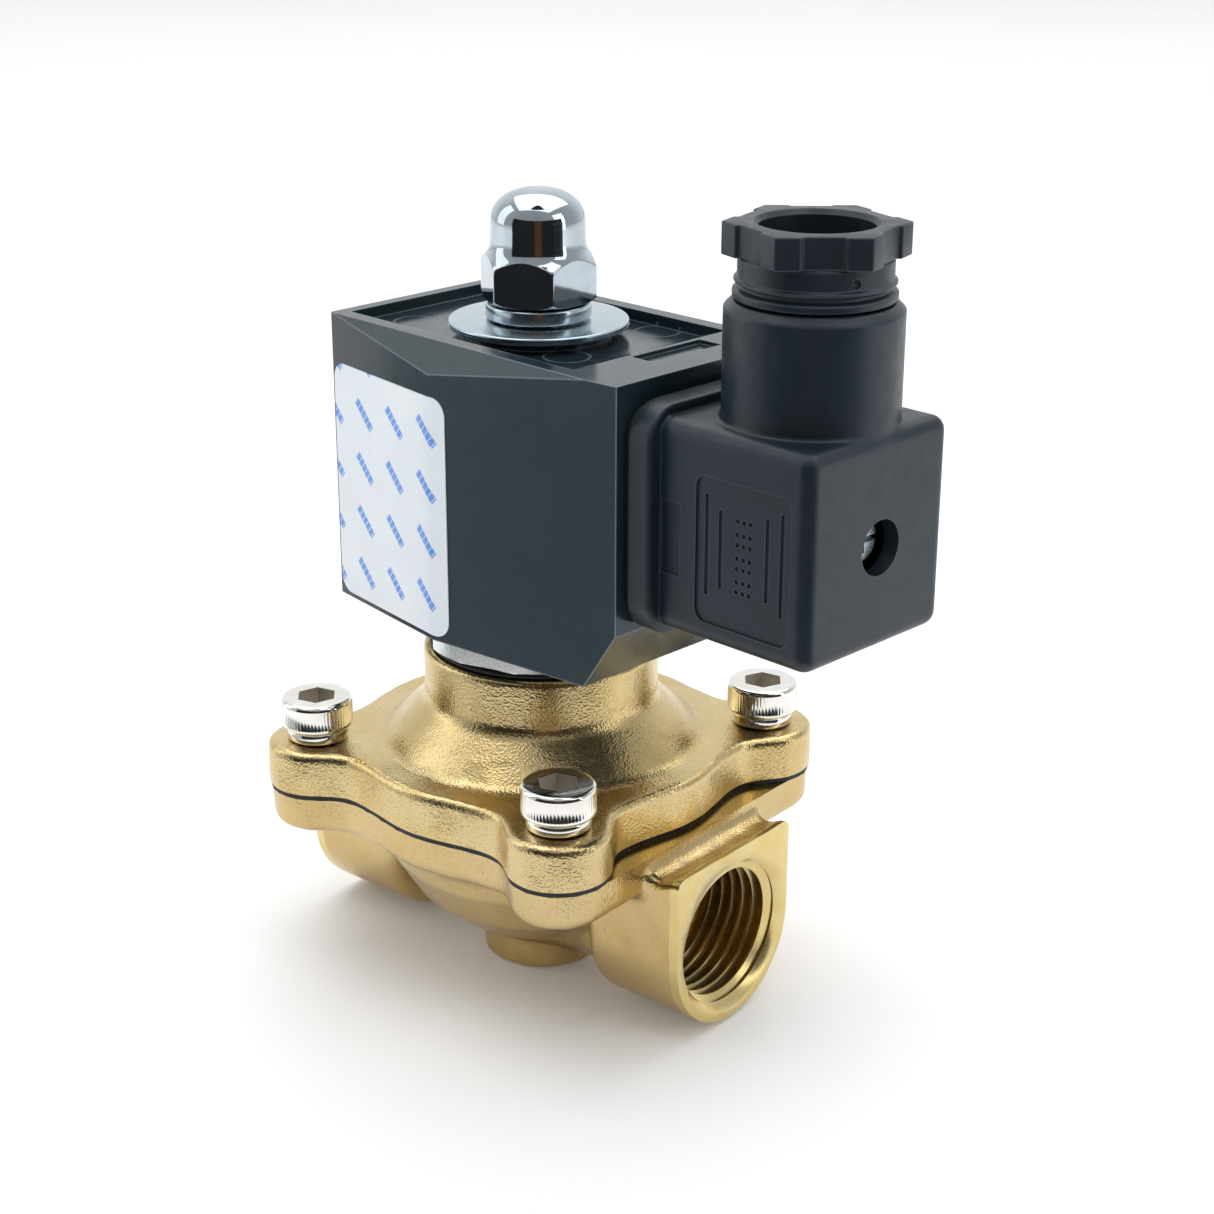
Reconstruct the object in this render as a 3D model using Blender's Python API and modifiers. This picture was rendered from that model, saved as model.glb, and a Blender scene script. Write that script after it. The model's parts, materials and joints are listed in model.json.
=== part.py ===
"""Two-way solenoid valve: a brass body and bonnet, a coil on an armature tube, and a cable plug.

Origin: centre of the flat under the body's middle boss. +X runs along the flow, towards the outlet
port and the cable plug; +Z runs up the armature tube. Lengths are metres, written as millimetres * MM.
"""
import math

import bmesh
import bpy
from mathutils import Matrix, Vector

MM = 0.001
GAP = 0.3 * MM                      # clearance between pieces that fit inside one another
SEAT = 0.15 * MM                    # clearance between flat faces that rest on one another

# Driving dimensions: body and bonnet
PORT_Z = 13.0 * MM                  # height of the port axis
PORT_FACE = 34.66 * MM              # half the face-to-face length
PORT_INNER = 18.2 * MM              # where the port boss starts
PORT_R = 12.5 * MM                  # rounded underside of the port boss
PORT_TOP = 26.0 * MM
BORE_R = 10.4 * MM                  # thread bore
BORE_END = 20.8 * MM
BODY_TOP = 27.4 * MM
FLANGE_LOW = 21.9 * MM
RUBBER = 0.5 * MM                   # clamped thickness of the diaphragm
COVER_LOW = BODY_TOP + RUBBER + 2 * SEAT
COVER_TOP = 34.4 * MM
BOLT = 22.46 * MM                   # bolt centres lie at (+-BOLT, +-BOLT)
LOBE_R = 7.1 * MM
LOBE_TURN = math.radians(38)        # where a side curve leaves the lobe
SIDE_WAVE = 13.0 * MM               # half width of the bulge in each side
SIDE_MID = 26.45 * MM
SIDE_SWELL = 0.95 * MM
BOLT_R = 2.5 * MM
HEAD_R = 5.0 * MM
HEAD_TOP = 40.6 * MM
SOCKET_FLAT = 2.5 * MM              # half of a 5 mm hexagon key
SOCKET_TURN = math.radians(4)
LOCK_WASHER_R = 4.35 * MM
LOCK_WASHER_H = 1.7 * MM
NECK_R = 16.5 * MM
NECK_TOP = 48.1 * MM
CHAMBER_R = 17.5 * MM
SEAT_TOP = 24.5 * MM
WELL_R = 8.0 * MM

# Driving dimensions: armature tube and what it holds
HEX_FLAT = 15.0 * MM                # half the distance across the flats
HEX_ROUND = 16.3 * MM
HEX_LOW = 48.9 * MM
HEX_TOP = 52.7 * MM
TUBE_R = 7.0 * MM
TUBE_TOP = 91.5 * MM
TUBE_BORE = 6.2 * MM
TUBE_LOW = 40.0 * MM
STUD_R = 4.0 * MM
STUD_TOP = 106.0 * MM
CORE_LOW = 66.0 * MM
CORE_TOP = 83.8 * MM
LIFT = 4.0 * MM
PLUNGER_R = 5.95 * MM
PLUNGER_LOW = 32.3 * MM
PLUNGER_TOP = CORE_LOW - LIFT - GAP

# Driving dimensions: coil, in the coil's own frame, which is turned about the tube
COIL_TURN = math.radians(-5.1)
LABEL_LOW = 53.8 * MM
LABEL_HIGH = 87.0 * MM
COIL_BACK = -24.0 * MM
COIL_FRONT = 30.4 * MM
COIL_HALF = 16.15 * MM              # half width at both ends
CREASE_X = -0.7 * MM
CREASE_HALF = 19.36 * MM
CREASE_TOP = 89.9 * MM
SHOULDER_X = 25.5 * MM
SHOULDER_HALF = 16.5 * MM
COIL_LOW = 53.05 * MM
COIL_TOP = 93.7 * MM
UNDERCUT_X = 25.1 * MM
UNDERCUT_Z = 61.2 * MM
POCKET_FLOOR = 92.1 * MM
COIL_BORE = TUBE_R + GAP

# Driving dimensions: washers and cap nut on the stud
WASHER_LOW = 93.3 * MM
WASHER_R = 12.15 * MM
WASHER_H = 1.0 * MM
SPRING_WASHER_R = 7.1 * MM
NUT_LOW = 96.9 * MM
NUT_TOP = 111.7 * MM
NUT_FLAT = 7.0 * MM
NUT_WAIST = 6.35 * MM
NUT_DOME = 107.0 * MM               # where the waist starts to close into the dome
NUT_TURN = math.radians(24.5)

# Driving dimensions: cable plug, in the coil's own frame
PLUG_MID_Z = 76.5 * MM
COLLAR_X = 31.6 * MM
COLLAR_END = 35.0 * MM
COLLAR_HALF = 15.1 * MM
COLLAR_LOW = 61.6 * MM
COLLAR_TOP = 91.5 * MM
BOX_END = 58.64 * MM
BOX_HALF = 13.1 * MM
BOX_LOW = 62.9 * MM
BOX_TOP = 90.2 * MM
WALL = 2.2 * MM
BLADE_OFF = 9.0 * MM                # terminals from the plug's middle
GLAND_X = 47.47 * MM
GLAND_R = 10.9 * MM
GLAND_TOP = 104.8 * MM
GLAND_BORE = 8.4 * MM
GLAND_LEDGE = 92.2 * MM
CABLE_R = 7.0 * MM
GRIP_LOW = 110.05 * MM              # six-sided grip of the gland nut
GRIP_TOP = 114.05 * MM
GRIP_FLAT = 9.8 * MM
GRIP_TURN = math.radians(44.6)      # angle of one corner, in the coil's frame
NOTCH_HALF = 2.65 * MM              # notch in the middle of each side of the grip
NOTCH_DEPTH = 0.55 * MM
ACCESS_R = 3.55 * MM                # screwdriver hole in the plug


# ---------------------------------------------------------------- scene and helpers

def clear_scene():
    for item in list(bpy.data.objects):
        bpy.data.objects.remove(item, do_unlink=True)


def collection(name):
    group = bpy.data.collections.new(name)
    bpy.context.scene.collection.children.link(group)
    return group


clear_scene()
PARTS = collection("solenoid_valve")
CUTTERS = collection("cutters")


def paint(name, color, roughness, metallic):
    mat = bpy.data.materials.new(name)
    mat.use_nodes = True
    shader = mat.node_tree.nodes["Principled BSDF"]
    shader.inputs["Base Color"].default_value = (*color, 1.0)
    shader.inputs["Roughness"].default_value = roughness
    shader.inputs["Metallic"].default_value = metallic
    return mat


BRASS = paint("brass", (0.72, 0.55, 0.25), 0.35, 1.0)
STEEL = paint("steel", (0.62, 0.62, 0.60), 0.3, 1.0)
ZINC = paint("zinc", (0.72, 0.75, 0.78), 0.25, 1.0)
CHROME = paint("chrome", (0.85, 0.86, 0.88), 0.06, 1.0)
RUBBER_BLACK = paint("rubber", (0.02, 0.02, 0.02), 0.8, 0.0)
COIL_PLASTIC = paint("coil_plastic", (0.035, 0.045, 0.055), 0.2, 0.0)
PLUG_PLASTIC = paint("plug_plastic", (0.03, 0.037, 0.045), 0.5, 0.0)
SPOOL_PLASTIC = paint("spool_plastic", (0.5, 0.5, 0.45), 0.5, 0.0)
COPPER = paint("copper", (0.75, 0.35, 0.18), 0.3, 1.0)
LABEL_WHITE = paint("label_white", (0.85, 0.87, 0.9), 0.4, 0.0)


def add(name, mesh, mat, parent=None):
    """Put a mesh in the part's collection; with no material it is a hidden cutting or joining tool."""
    item = bpy.data.objects.new(name, mesh)
    if mat is None:
        CUTTERS.objects.link(item)
        item.hide_render = True
        item.display_type = "WIRE"
    else:
        PARTS.objects.link(item)
        mesh.materials.append(mat)
    item.parent = parent
    return item


def turned(name, profile, mat=None, steps=32, parent=None, x=0.0, ring=False):
    """Turn (radius, height) points about Z; the outer side runs from top to bottom."""
    bm = bmesh.new()
    verts = [bm.verts.new((radius, 0.0, height)) for radius, height in profile]
    for first, second in zip(verts, verts[1:]):
        bm.edges.new((first, second))
    if ring:
        bm.edges.new((verts[-1], verts[0]))
    mesh = bpy.data.meshes.new(name)
    bm.to_mesh(mesh)
    bm.free()
    item = add(name, mesh, mat, parent)
    item.location.x = x
    screw = item.modifiers.new("turn", "SCREW")
    screw.axis = "Z"
    screw.steps = steps
    screw.render_steps = steps
    screw.use_merge_vertices = True
    screw.merge_threshold = 0.00001
    return item


def washer(name, inner, outer, low, high, mat, steps=24, parent=None, x=0.0):
    profile = [(inner, high), (outer, high), (outer, low), (inner, low)]
    return turned(name, profile, mat, steps, parent, x, ring=True)


def rod(name, radius, low, high, mat=None, steps=24, parent=None, x=0.0):
    profile = [(0, high), (radius, high), (radius, low), (0, low)]
    return turned(name, profile, mat, steps, parent, x)


def plate(name, outlines, low, high, mat=None, parent=None, along="Z"):
    """Extrude flat outlines (the first outside, the others holes) from low to high.

    An outline lies in XY; with along "X" it is given as (y, z) and the plate runs along X,
    and with along "Y" as (z, x) and it runs along Y.
    """
    curve = bpy.data.curves.new(name, "CURVE")
    curve.dimensions = "2D"
    curve.fill_mode = "BOTH"
    curve.extrude = (high - low) / 2
    for outline in outlines:
        spline = curve.splines.new("POLY")
        spline.points.add(len(outline) - 1)
        for point, (first, second) in zip(spline.points, outline):
            point.co = (first, second, 0.0, 1.0)
        spline.use_cyclic_u = True
    guide = bpy.data.objects.new(name, curve)
    CUTTERS.objects.link(guide)
    bpy.context.view_layer.update()
    mesh = bpy.data.meshes.new_from_object(guide.evaluated_get(bpy.context.evaluated_depsgraph_get()))
    bpy.data.objects.remove(guide, do_unlink=True)
    bm = bmesh.new()
    bm.from_mesh(mesh)
    bmesh.ops.remove_doubles(bm, verts=bm.verts, dist=0.000001)
    bmesh.ops.translate(bm, verts=bm.verts, vec=(0, 0, (low + high) / 2))
    turn = {"X": Matrix(((0, 0, 1), (1, 0, 0), (0, 1, 0))), "Y": Matrix(((0, 1, 0), (0, 0, 1), (1, 0, 0)))}
    if along in turn:
        bmesh.ops.transform(bm, matrix=turn[along].to_4x4(), verts=bm.verts)
    bmesh.ops.recalc_face_normals(bm, faces=bm.faces)
    bm.to_mesh(mesh)
    bm.free()
    return add(name, mesh, mat, parent)


def block(name, low, high, mat=None, parent=None):
    """A box between two corners."""
    bm = bmesh.new()
    bmesh.ops.create_cube(bm, size=1.0)
    size = Vector(high) - Vector(low)
    bmesh.ops.scale(bm, verts=bm.verts, vec=size)
    bmesh.ops.translate(bm, verts=bm.verts, vec=(Vector(low) + Vector(high)) / 2)
    mesh = bpy.data.meshes.new(name)
    bm.to_mesh(mesh)
    bm.free()
    return add(name, mesh, mat, parent)


def rod_x(name, radius, low, high, y=0.0, z=0.0, mat=None, steps=24, parent=None):
    """A round rod along X."""
    bm = bmesh.new()
    bmesh.ops.create_cone(bm, cap_ends=True, segments=steps, radius1=radius, radius2=radius,
                          depth=high - low, matrix=Matrix.Rotation(math.pi / 2, 4, "Y"))
    bmesh.ops.translate(bm, verts=bm.verts, vec=((low + high) / 2, y, z))
    mesh = bpy.data.meshes.new(name)
    bm.to_mesh(mesh)
    bm.free()
    return add(name, mesh, mat, parent)


def combine(target, operation, tools):
    for tool in tools:
        modifier = target.modifiers.new(tool.name, "BOOLEAN")
        modifier.operation = operation
        modifier.solver = "EXACT"
        modifier.object = tool
    return target


def cut(target, *tools):
    return combine(target, "DIFFERENCE", tools)


def join(target, *tools):
    return combine(target, "UNION", tools)


def slice_off(item, point, normal):
    """Cut away everything on the side that the normal points to, and close the cut."""
    bm = bmesh.new()
    bm.from_mesh(item.data)
    geometry = bm.verts[:] + bm.edges[:] + bm.faces[:]
    result = bmesh.ops.bisect_plane(bm, geom=geometry, plane_co=point, plane_no=normal,
                                    clear_outer=True, dist=0.0000001)
    rim = [piece for piece in result["geom_cut"] if isinstance(piece, bmesh.types.BMEdge)]
    bmesh.ops.edgenet_fill(bm, edges=rim)
    bmesh.ops.recalc_face_normals(bm, faces=bm.faces)
    bm.to_mesh(item.data)
    bm.free()


def arc(center, radius, start, end, steps):
    """Points on an arc from the start angle to the end angle, both ends included."""
    angles = [start + (end - start) * step / steps for step in range(steps + 1)]
    return [(center[0] + radius * math.cos(a), center[1] + radius * math.sin(a)) for a in angles]


def circle(center, radius, steps=24):
    return arc(center, radius, 0, 2 * math.pi, steps)[:-1]


def rounded_rectangle(half_w, low, high, radius, steps=4):
    """A rectangle from -half_w to half_w and low to high, with rounded corners."""
    quarter = math.pi / 2
    corners = [(half_w - radius, high - radius), (radius - half_w, high - radius),
               (radius - half_w, low + radius), (half_w - radius, low + radius)]
    points = []
    for index, corner in enumerate(corners):
        points += arc(corner, radius, index * quarter, (index + 1) * quarter, steps)
    return points


def spring(name, radius, wire, low, high, turns, mat, x=0.0, per_turn=12):
    """A round helical spring about Z, with filled ends."""
    curve = bpy.data.curves.new(name, "CURVE")
    curve.dimensions = "3D"
    curve.bevel_depth = wire
    curve.bevel_resolution = 2
    curve.use_fill_caps = True
    spline = curve.splines.new("POLY")
    count = turns * per_turn
    spline.points.add(count)
    for step, point in enumerate(spline.points):
        angle = 2 * math.pi * step / per_turn
        height = low + wire + (high - low - 2 * wire) * step / count
        point.co = (x + radius * math.cos(angle), radius * math.sin(angle), height, 1.0)
    item = bpy.data.objects.new(name, curve)
    PARTS.objects.link(item)
    curve.materials.append(mat)
    return item


# ---------------------------------------------------------------- bonnet outline

def side_reach(along):
    """Distance of a bonnet side from the middle, at a place along that side."""
    along = abs(along)
    if along <= SIDE_WAVE:
        return SIDE_MID + SIDE_SWELL * math.cos(math.pi * along / SIDE_WAVE)
    end = BOLT - LOBE_R * math.sin(LOBE_TURN)
    reach = BOLT + LOBE_R * math.cos(LOBE_TURN)
    span = end - SIDE_WAVE
    t = (along - SIDE_WAVE) / span
    start = SIDE_MID - SIDE_SWELL
    rise = span * math.tan(LOBE_TURN)
    return start + (reach - start) * (3 * t * t - 2 * t ** 3) + rise * (t ** 3 - t * t)


def flange_outline(inset=0.0, flat_ends=False):
    """The four-lobed outline; with flat_ends its two X sides run straight from lobe to lobe."""
    end = BOLT - LOBE_R * math.sin(LOBE_TURN)
    steps = 14
    points = []
    for quarter in range(4):
        along_x = quarter % 2 == 1
        local = []
        straight = flat_ends and not along_x
        if not straight:
            local += [(end * (2 * step / steps - 1), side_reach(end * (2 * step / steps - 1)) - inset)
                      for step in range(1, steps)]
        first = math.pi / 2 if straight else math.pi / 2 + LOBE_TURN
        last = -LOBE_TURN if straight or not flat_ends else 0.0
        local += arc((BOLT, BOLT), LOBE_R - inset, first, last, 10)
        # the first side faces +X: turn the local frame, whose side faces +Y, by -90 degrees a quarter
        turn = Matrix.Rotation(-math.pi / 2 * (quarter + 1), 2)
        points += [tuple(turn @ Vector(point)) for point in local]
    return points


def bolt_places():
    return [(BOLT, BOLT), (-BOLT, BOLT), (-BOLT, -BOLT), (BOLT, -BOLT)]


def bolt_holes():
    return [circle(place, BOLT_R + GAP, 16) for place in bolt_places()]


# ---------------------------------------------------------------- body, diaphragm and bonnet

def port_outline():
    """The D of a port boss: flat on top, round below."""
    corner = 1.2 * MM
    quarter = math.pi / 2
    points = arc((PORT_R - corner, PORT_TOP - corner), corner, 0, quarter, 3)
    points += arc((corner - PORT_R, PORT_TOP - corner), corner, quarter, 2 * quarter, 3)
    points += arc((0, PORT_Z), PORT_R, 2 * quarter, 4 * quarter, 20)
    return points


def make_body():
    body = plate("valve_body", [flange_outline(flat_ends=True)] + bolt_holes(), FLANGE_LOW, BODY_TOP, BRASS)
    bowl = turned("body_bowl", [(0, 24 * MM), (23.5 * MM, 24 * MM), (23.5 * MM, 21.5 * MM),
                                (22 * MM, 17.4 * MM), (18.5 * MM, 11.8 * MM), (13 * MM, 7 * MM),
                                (9.4 * MM, 5.2 * MM), (8.6 * MM, 4.4 * MM), (8.6 * MM, 0.6 * MM), (8 * MM, 0), (0, 0)])
    tunnel = rod_x("body_tunnel", 7.2 * MM, 0, 21 * MM, z=9.6 * MM)
    bosses = [plate("body_port_out", [port_outline()], PORT_INNER, PORT_FACE, along="X"),
              plate("body_port_in", [port_outline()], -PORT_FACE, -PORT_INNER, along="X")]
    join(body, bowl, tunnel, *bosses)
    chamber = turned("body_chamber", [(0, 30 * MM), (CHAMBER_R, 30 * MM), (CHAMBER_R, 16 * MM),
                                      (9.8 * MM, 16 * MM), (9.8 * MM, SEAT_TOP), (WELL_R, SEAT_TOP),
                                      (WELL_R, 5 * MM), (0, 5 * MM)])
    bores = [rod_x("bore_out", BORE_R, BORE_END, PORT_FACE + 5 * MM, z=PORT_Z, steps=32),
             rod_x("bore_in", BORE_R, -PORT_FACE - 5 * MM, -BORE_END, z=PORT_Z, steps=32)]
    outlet = rod_x("body_outlet", 4.6 * MM, 2 * MM, 22 * MM, z=9.6 * MM, steps=16)
    inlet = block("body_inlet", (-22 * MM, -6.5 * MM, 16.3 * MM), (-13 * MM, 6.5 * MM, 21.6 * MM))
    return cut(body, chamber, outlet, inlet, *bores)


def make_cover():
    cover = plate("cover", [flange_outline()] + bolt_holes(), COVER_LOW, COVER_TOP, BRASS)
    dome = turned("cover_dome", [(0, NECK_TOP), (NECK_R - 0.6 * MM, NECK_TOP), (NECK_R, NECK_TOP - 0.6 * MM),
                                 (NECK_R, 40.4 * MM), (17.3 * MM, 39.2 * MM), (20.8 * MM, 35.8 * MM),
                                 (22.6 * MM, COVER_TOP - 0.1 * MM), (22.6 * MM, 30 * MM), (0, 30 * MM)],
                  steps=48)
    hollow = turned("cover_hollow", [(0, 50 * MM), (12.3 * MM, 50 * MM), (12.3 * MM, 39.5 * MM),
                                     (8.5 * MM, 39.5 * MM), (8.5 * MM, 36 * MM), (CHAMBER_R, 33 * MM),
                                     (CHAMBER_R, 27 * MM), (0, 27 * MM)])
    return cut(join(cover, dome), hollow)


def make_diaphragm():
    low = BODY_TOP + SEAT
    hub = [(1 * MM, 31.6 * MM), (5 * MM, 31.6 * MM), (5 * MM, 29.45 * MM), (2.4 * MM, 29.45 * MM),
           (2.4 * MM, SEAT_TOP), (5 * MM, SEAT_TOP), (5 * MM, 23.7 * MM), (1 * MM, 23.7 * MM)]
    hole = 2.7 * MM
    plate("diaphragm", [flange_outline(inset=0.3 * MM), circle((0, 0), hole)] + bolt_holes(),
          low, low + RUBBER, RUBBER_BLACK)
    washer("seat_disc", hole, 11.5 * MM, SEAT_TOP + 0.2 * MM, 27.35 * MM, RUBBER_BLACK)
    washer("backing_plate", hole, 13 * MM, 28.25 * MM, 29.25 * MM, STEEL)
    turned("pilot_hub", hub, BRASS, steps=24, ring=True)


def hex_outline(flat, limit=None, turn=0.0, steps=72):
    """A hexagon by its half width across flats, its corners rounded off at a limiting radius."""
    corner = flat / math.cos(math.pi / 6)
    if limit is None:
        return [(corner * math.cos(turn + k * math.pi / 3), corner * math.sin(turn + k * math.pi / 3))
                for k in range(6)]
    points = []
    for step in range(steps):
        angle = 2 * math.pi * step / steps
        local = (angle + math.pi / 6) % (math.pi / 3) - math.pi / 6
        radius = min(limit, flat / math.cos(local))
        points.append((radius * math.cos(angle + turn), radius * math.sin(angle + turn)))
    return points


def make_cover_screws():
    head_low = COVER_TOP + LOCK_WASHER_H + 2 * SEAT
    rim = 0.4 * MM
    socket = plate("screw_socket", [hex_outline(SOCKET_FLAT)], HEAD_TOP - 2.6 * MM, HEAD_TOP + 1 * MM)
    profile = [(0, HEAD_TOP), (HEAD_R - rim, HEAD_TOP), (HEAD_R, HEAD_TOP - rim), (HEAD_R, head_low),
               (BOLT_R, head_low), (BOLT_R, 22.6 * MM), (0, 22.6 * MM)]
    for index, place in enumerate(bolt_places(), start=1):
        screw = turned(f"cover_screw_{index}", profile, STEEL, steps=24)
        screw.location = (*place, 0)
        # each screw has its own socket, turned as tightening left it
        own = add(f"screw_socket_{index}", socket.data, None)
        own.location = (*place, 0)
        own.rotation_euler.z = SOCKET_TURN + math.radians(3 * index)
        cut(screw, own)
        ring = washer(f"lock_washer_{index}", BOLT_R + GAP, LOCK_WASHER_R, COVER_TOP + SEAT,
                      COVER_TOP + SEAT + LOCK_WASHER_H, STEEL, steps=20)
        ring.location = (*place, 0)
    bpy.data.objects.remove(socket, do_unlink=True)


# ---------------------------------------------------------------- armature tube, core and plunger

def make_tube():
    tube = turned("armature_tube", [(0, STUD_TOP), (STUD_R, STUD_TOP), (STUD_R, TUBE_TOP), (TUBE_R, TUBE_TOP),
                                    (TUBE_R, HEX_TOP - 0.2 * MM), (12 * MM, HEX_TOP - 0.2 * MM),
                                    (12 * MM, TUBE_LOW), (TUBE_BORE, TUBE_LOW), (TUBE_BORE, 84 * MM),
                                    (0, 84 * MM)], STEEL)
    hexagon = plate("tube_hex", [hex_outline(HEX_FLAT, HEX_ROUND, math.radians(12)),
                                 circle((0, 0), 10 * MM)], HEX_LOW, HEX_TOP)
    join(tube, hexagon)
    washer("tube_o_ring", 13 * MM, 15.6 * MM, NECK_TOP + SEAT, HEX_LOW - SEAT, RUBBER_BLACK, steps=32)


def make_core():
    groove_in = 3.3 * MM
    groove_out = 4.8 * MM
    depth = 1.4 * MM
    turned("fixed_core", [(0, CORE_TOP), (6 * MM, CORE_TOP), (6 * MM, CORE_LOW), (groove_out, CORE_LOW),
                          (groove_out, CORE_LOW + depth), (groove_in, CORE_LOW + depth),
                          (groove_in, CORE_LOW), (0, CORE_LOW)], STEEL, steps=24)
    washer("shading_ring", groove_in + 0.2 * MM, groove_out - 0.2 * MM, CORE_LOW + 0.1 * MM,
           CORE_LOW + depth - 0.2 * MM, COPPER)


def make_plunger():
    pocket_r = 3.5 * MM
    pocket_low = 50 * MM
    turned("plunger", [(pocket_r, PLUNGER_TOP), (PLUNGER_R, PLUNGER_TOP), (PLUNGER_R, PLUNGER_LOW),
                       (pocket_r, PLUNGER_LOW), (pocket_r, 35.2 * MM), (0, 35.2 * MM)]
           + [(0, pocket_low), (pocket_r, pocket_low)], STEEL, steps=24, ring=True)
    rod("plunger_seal", pocket_r - 0.2 * MM, 31.8 * MM, 35 * MM, RUBBER_BLACK, steps=20)
    spring("plunger_spring", 2.6 * MM, 0.4 * MM, pocket_low + 0.2 * MM, CORE_LOW - 0.2 * MM, 8, STEEL)


# ---------------------------------------------------------------- coil

def make_coil(axis):
    half = [(COIL_BACK, -COIL_HALF), (CREASE_X, -CREASE_HALF), (SHOULDER_X, -SHOULDER_HALF),
            (COIL_FRONT, -COIL_HALF)]
    outline = half + [(x, -y) for x, y in reversed(half)]
    housing = plate("coil_housing", [outline], COIL_LOW, COIL_TOP, COIL_PLASTIC, axis)
    for side in (-1, 1):
        back = Vector((COIL_BACK, side * COIL_HALF, COIL_TOP))
        crease = Vector((CREASE_X, side * CREASE_HALF, CREASE_TOP))
        front = Vector((24.5 * MM, side * 16.6 * MM, COIL_TOP))
        normal = (crease - back).cross(front - back) * -side
        slice_off(housing, back, normal if normal.z > 0 else -normal)
    undercut = Vector((COIL_FRONT - UNDERCUT_X, 0, UNDERCUT_Z - COIL_LOW))
    slice_off(housing, (UNDERCUT_X, 0, COIL_LOW), Vector((undercut.z, 0, -undercut.x)))

    pocket_x = -22.2 * MM
    pocket = plate("coil_pocket", [[(96 * MM, pocket_x), (POCKET_FLOOR, pocket_x), (POCKET_FLOOR, 16.5 * MM),
                                    (COIL_TOP - 0.2 * MM, 21 * MM), (96 * MM, 21 * MM)]],
                   -14.2 * MM, 14.2 * MM, parent=axis, along="Y")
    cavity = block("coil_cavity", (-21 * MM, -14 * MM, 50 * MM), (21 * MM, 14 * MM, 89.5 * MM), parent=axis)
    bore = rod("coil_bore", COIL_BORE, 80 * MM, 96 * MM, parent=axis)
    plaque = block("coil_plaque", (21.6 * MM, -4.5 * MM, COIL_TOP - 0.6 * MM),
                   (25.5 * MM, 8.3 * MM, 96 * MM), parent=axis)
    slots = [block(f"coil_slot_{index}", low, high, parent=axis)
             for index, (low, high) in enumerate(blade_boxes(20 * MM, 32 * MM, GAP), start=1)]
    thread = rod_x("coil_thread", 1.8 * MM, 20 * MM, 32 * MM, z=PLUG_MID_Z, steps=16, parent=axis)
    boss = washer("coil_boss", COIL_BORE, 10 * MM, POCKET_FLOOR - 1 * MM, WASHER_LOW - SEAT, None, parent=axis)
    cut(housing, pocket, cavity, bore, plaque, thread, *slots)
    join(housing, boss)


def make_yoke(axis):
    reach = 20.5 * MM
    thick = 3.0 * MM
    width = 12.0 * MM
    low = 53.5 * MM
    high = 89.0 * MM
    yoke = plate("yoke", [rounded_rectangle(reach, low, high, 2.5 * MM),
                          rounded_rectangle(reach - thick, low + thick, high - thick, 0.8 * MM, 2)],
                 -width, width, STEEL, along="X")
    # the frame is drawn facing X, then turned so that its legs stand at -X and +X
    yoke.data.transform(Matrix.Rotation(math.pi / 2, 4, "Z"))
    yoke.parent = axis
    cut(yoke, rod("yoke_bore", COIL_BORE, 50 * MM, 95 * MM, parent=axis))

    inner = COIL_BORE + 0.1 * MM
    outer = 13.6 * MM
    core = 9.0 * MM
    low += thick + GAP
    high -= thick + GAP
    cheek = 1.5 * MM
    turned("bobbin", [(inner, high), (outer, high), (outer, high - cheek), (core, high - cheek),
                      (core, low + cheek), (outer, low + cheek), (outer, low), (inner, low)],
           SPOOL_PLASTIC, steps=32, parent=axis, ring=True)
    washer("winding", core + 0.2 * MM, outer - 0.6 * MM, low + cheek + 0.2 * MM, high - cheek - 0.2 * MM,
           COPPER, steps=32, parent=axis)


def blade_boxes(low_x, high_x, grow=0.0):
    """Corner pairs of the two supply blades, above and below the middle, and the earth blade."""
    half_w = 3.15 * MM + grow
    half_t = 0.4 * MM + grow
    boxes = []
    for z in (PLUG_MID_Z + BLADE_OFF, PLUG_MID_Z - BLADE_OFF):
        boxes.append(((low_x, -half_w, z - half_t), (high_x, half_w, z + half_t)))
    boxes.append(((low_x, BLADE_OFF - half_t, PLUG_MID_Z - half_w),
                  (high_x, BLADE_OFF + half_t, PLUG_MID_Z + half_w)))
    return boxes


def make_terminals(axis):
    names = ("terminal_blade_1", "terminal_blade_2", "earth_blade")
    for name, (low, high) in zip(names, blade_boxes(22 * MM, 39 * MM)):
        block(name, low, high, ZINC, axis)


def make_label(axis):
    """A thin sticker on the left panel that wraps a little way round the crease."""
    near = 0.06 * MM
    far = 0.24 * MM
    slope_back = (CREASE_HALF - COIL_HALF) / (CREASE_X - COIL_BACK)
    slope_front = (CREASE_HALF - SHOULDER_HALF) / (SHOULDER_X - CREASE_X)
    start = COIL_BACK + 0.5 * MM
    end = 2.2 * MM

    def surface(x, off):
        reach = CREASE_HALF - (slope_back * (CREASE_X - x) if x < CREASE_X else slope_front * (x - CREASE_X))
        return (x, -(reach + off))

    outline = [surface(x, far) for x in (start, CREASE_X, end)]
    outline += [surface(x, near) for x in (end, CREASE_X, start)]
    plate("label", [outline], LABEL_LOW, LABEL_HIGH, LABEL_WHITE, axis)


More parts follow.
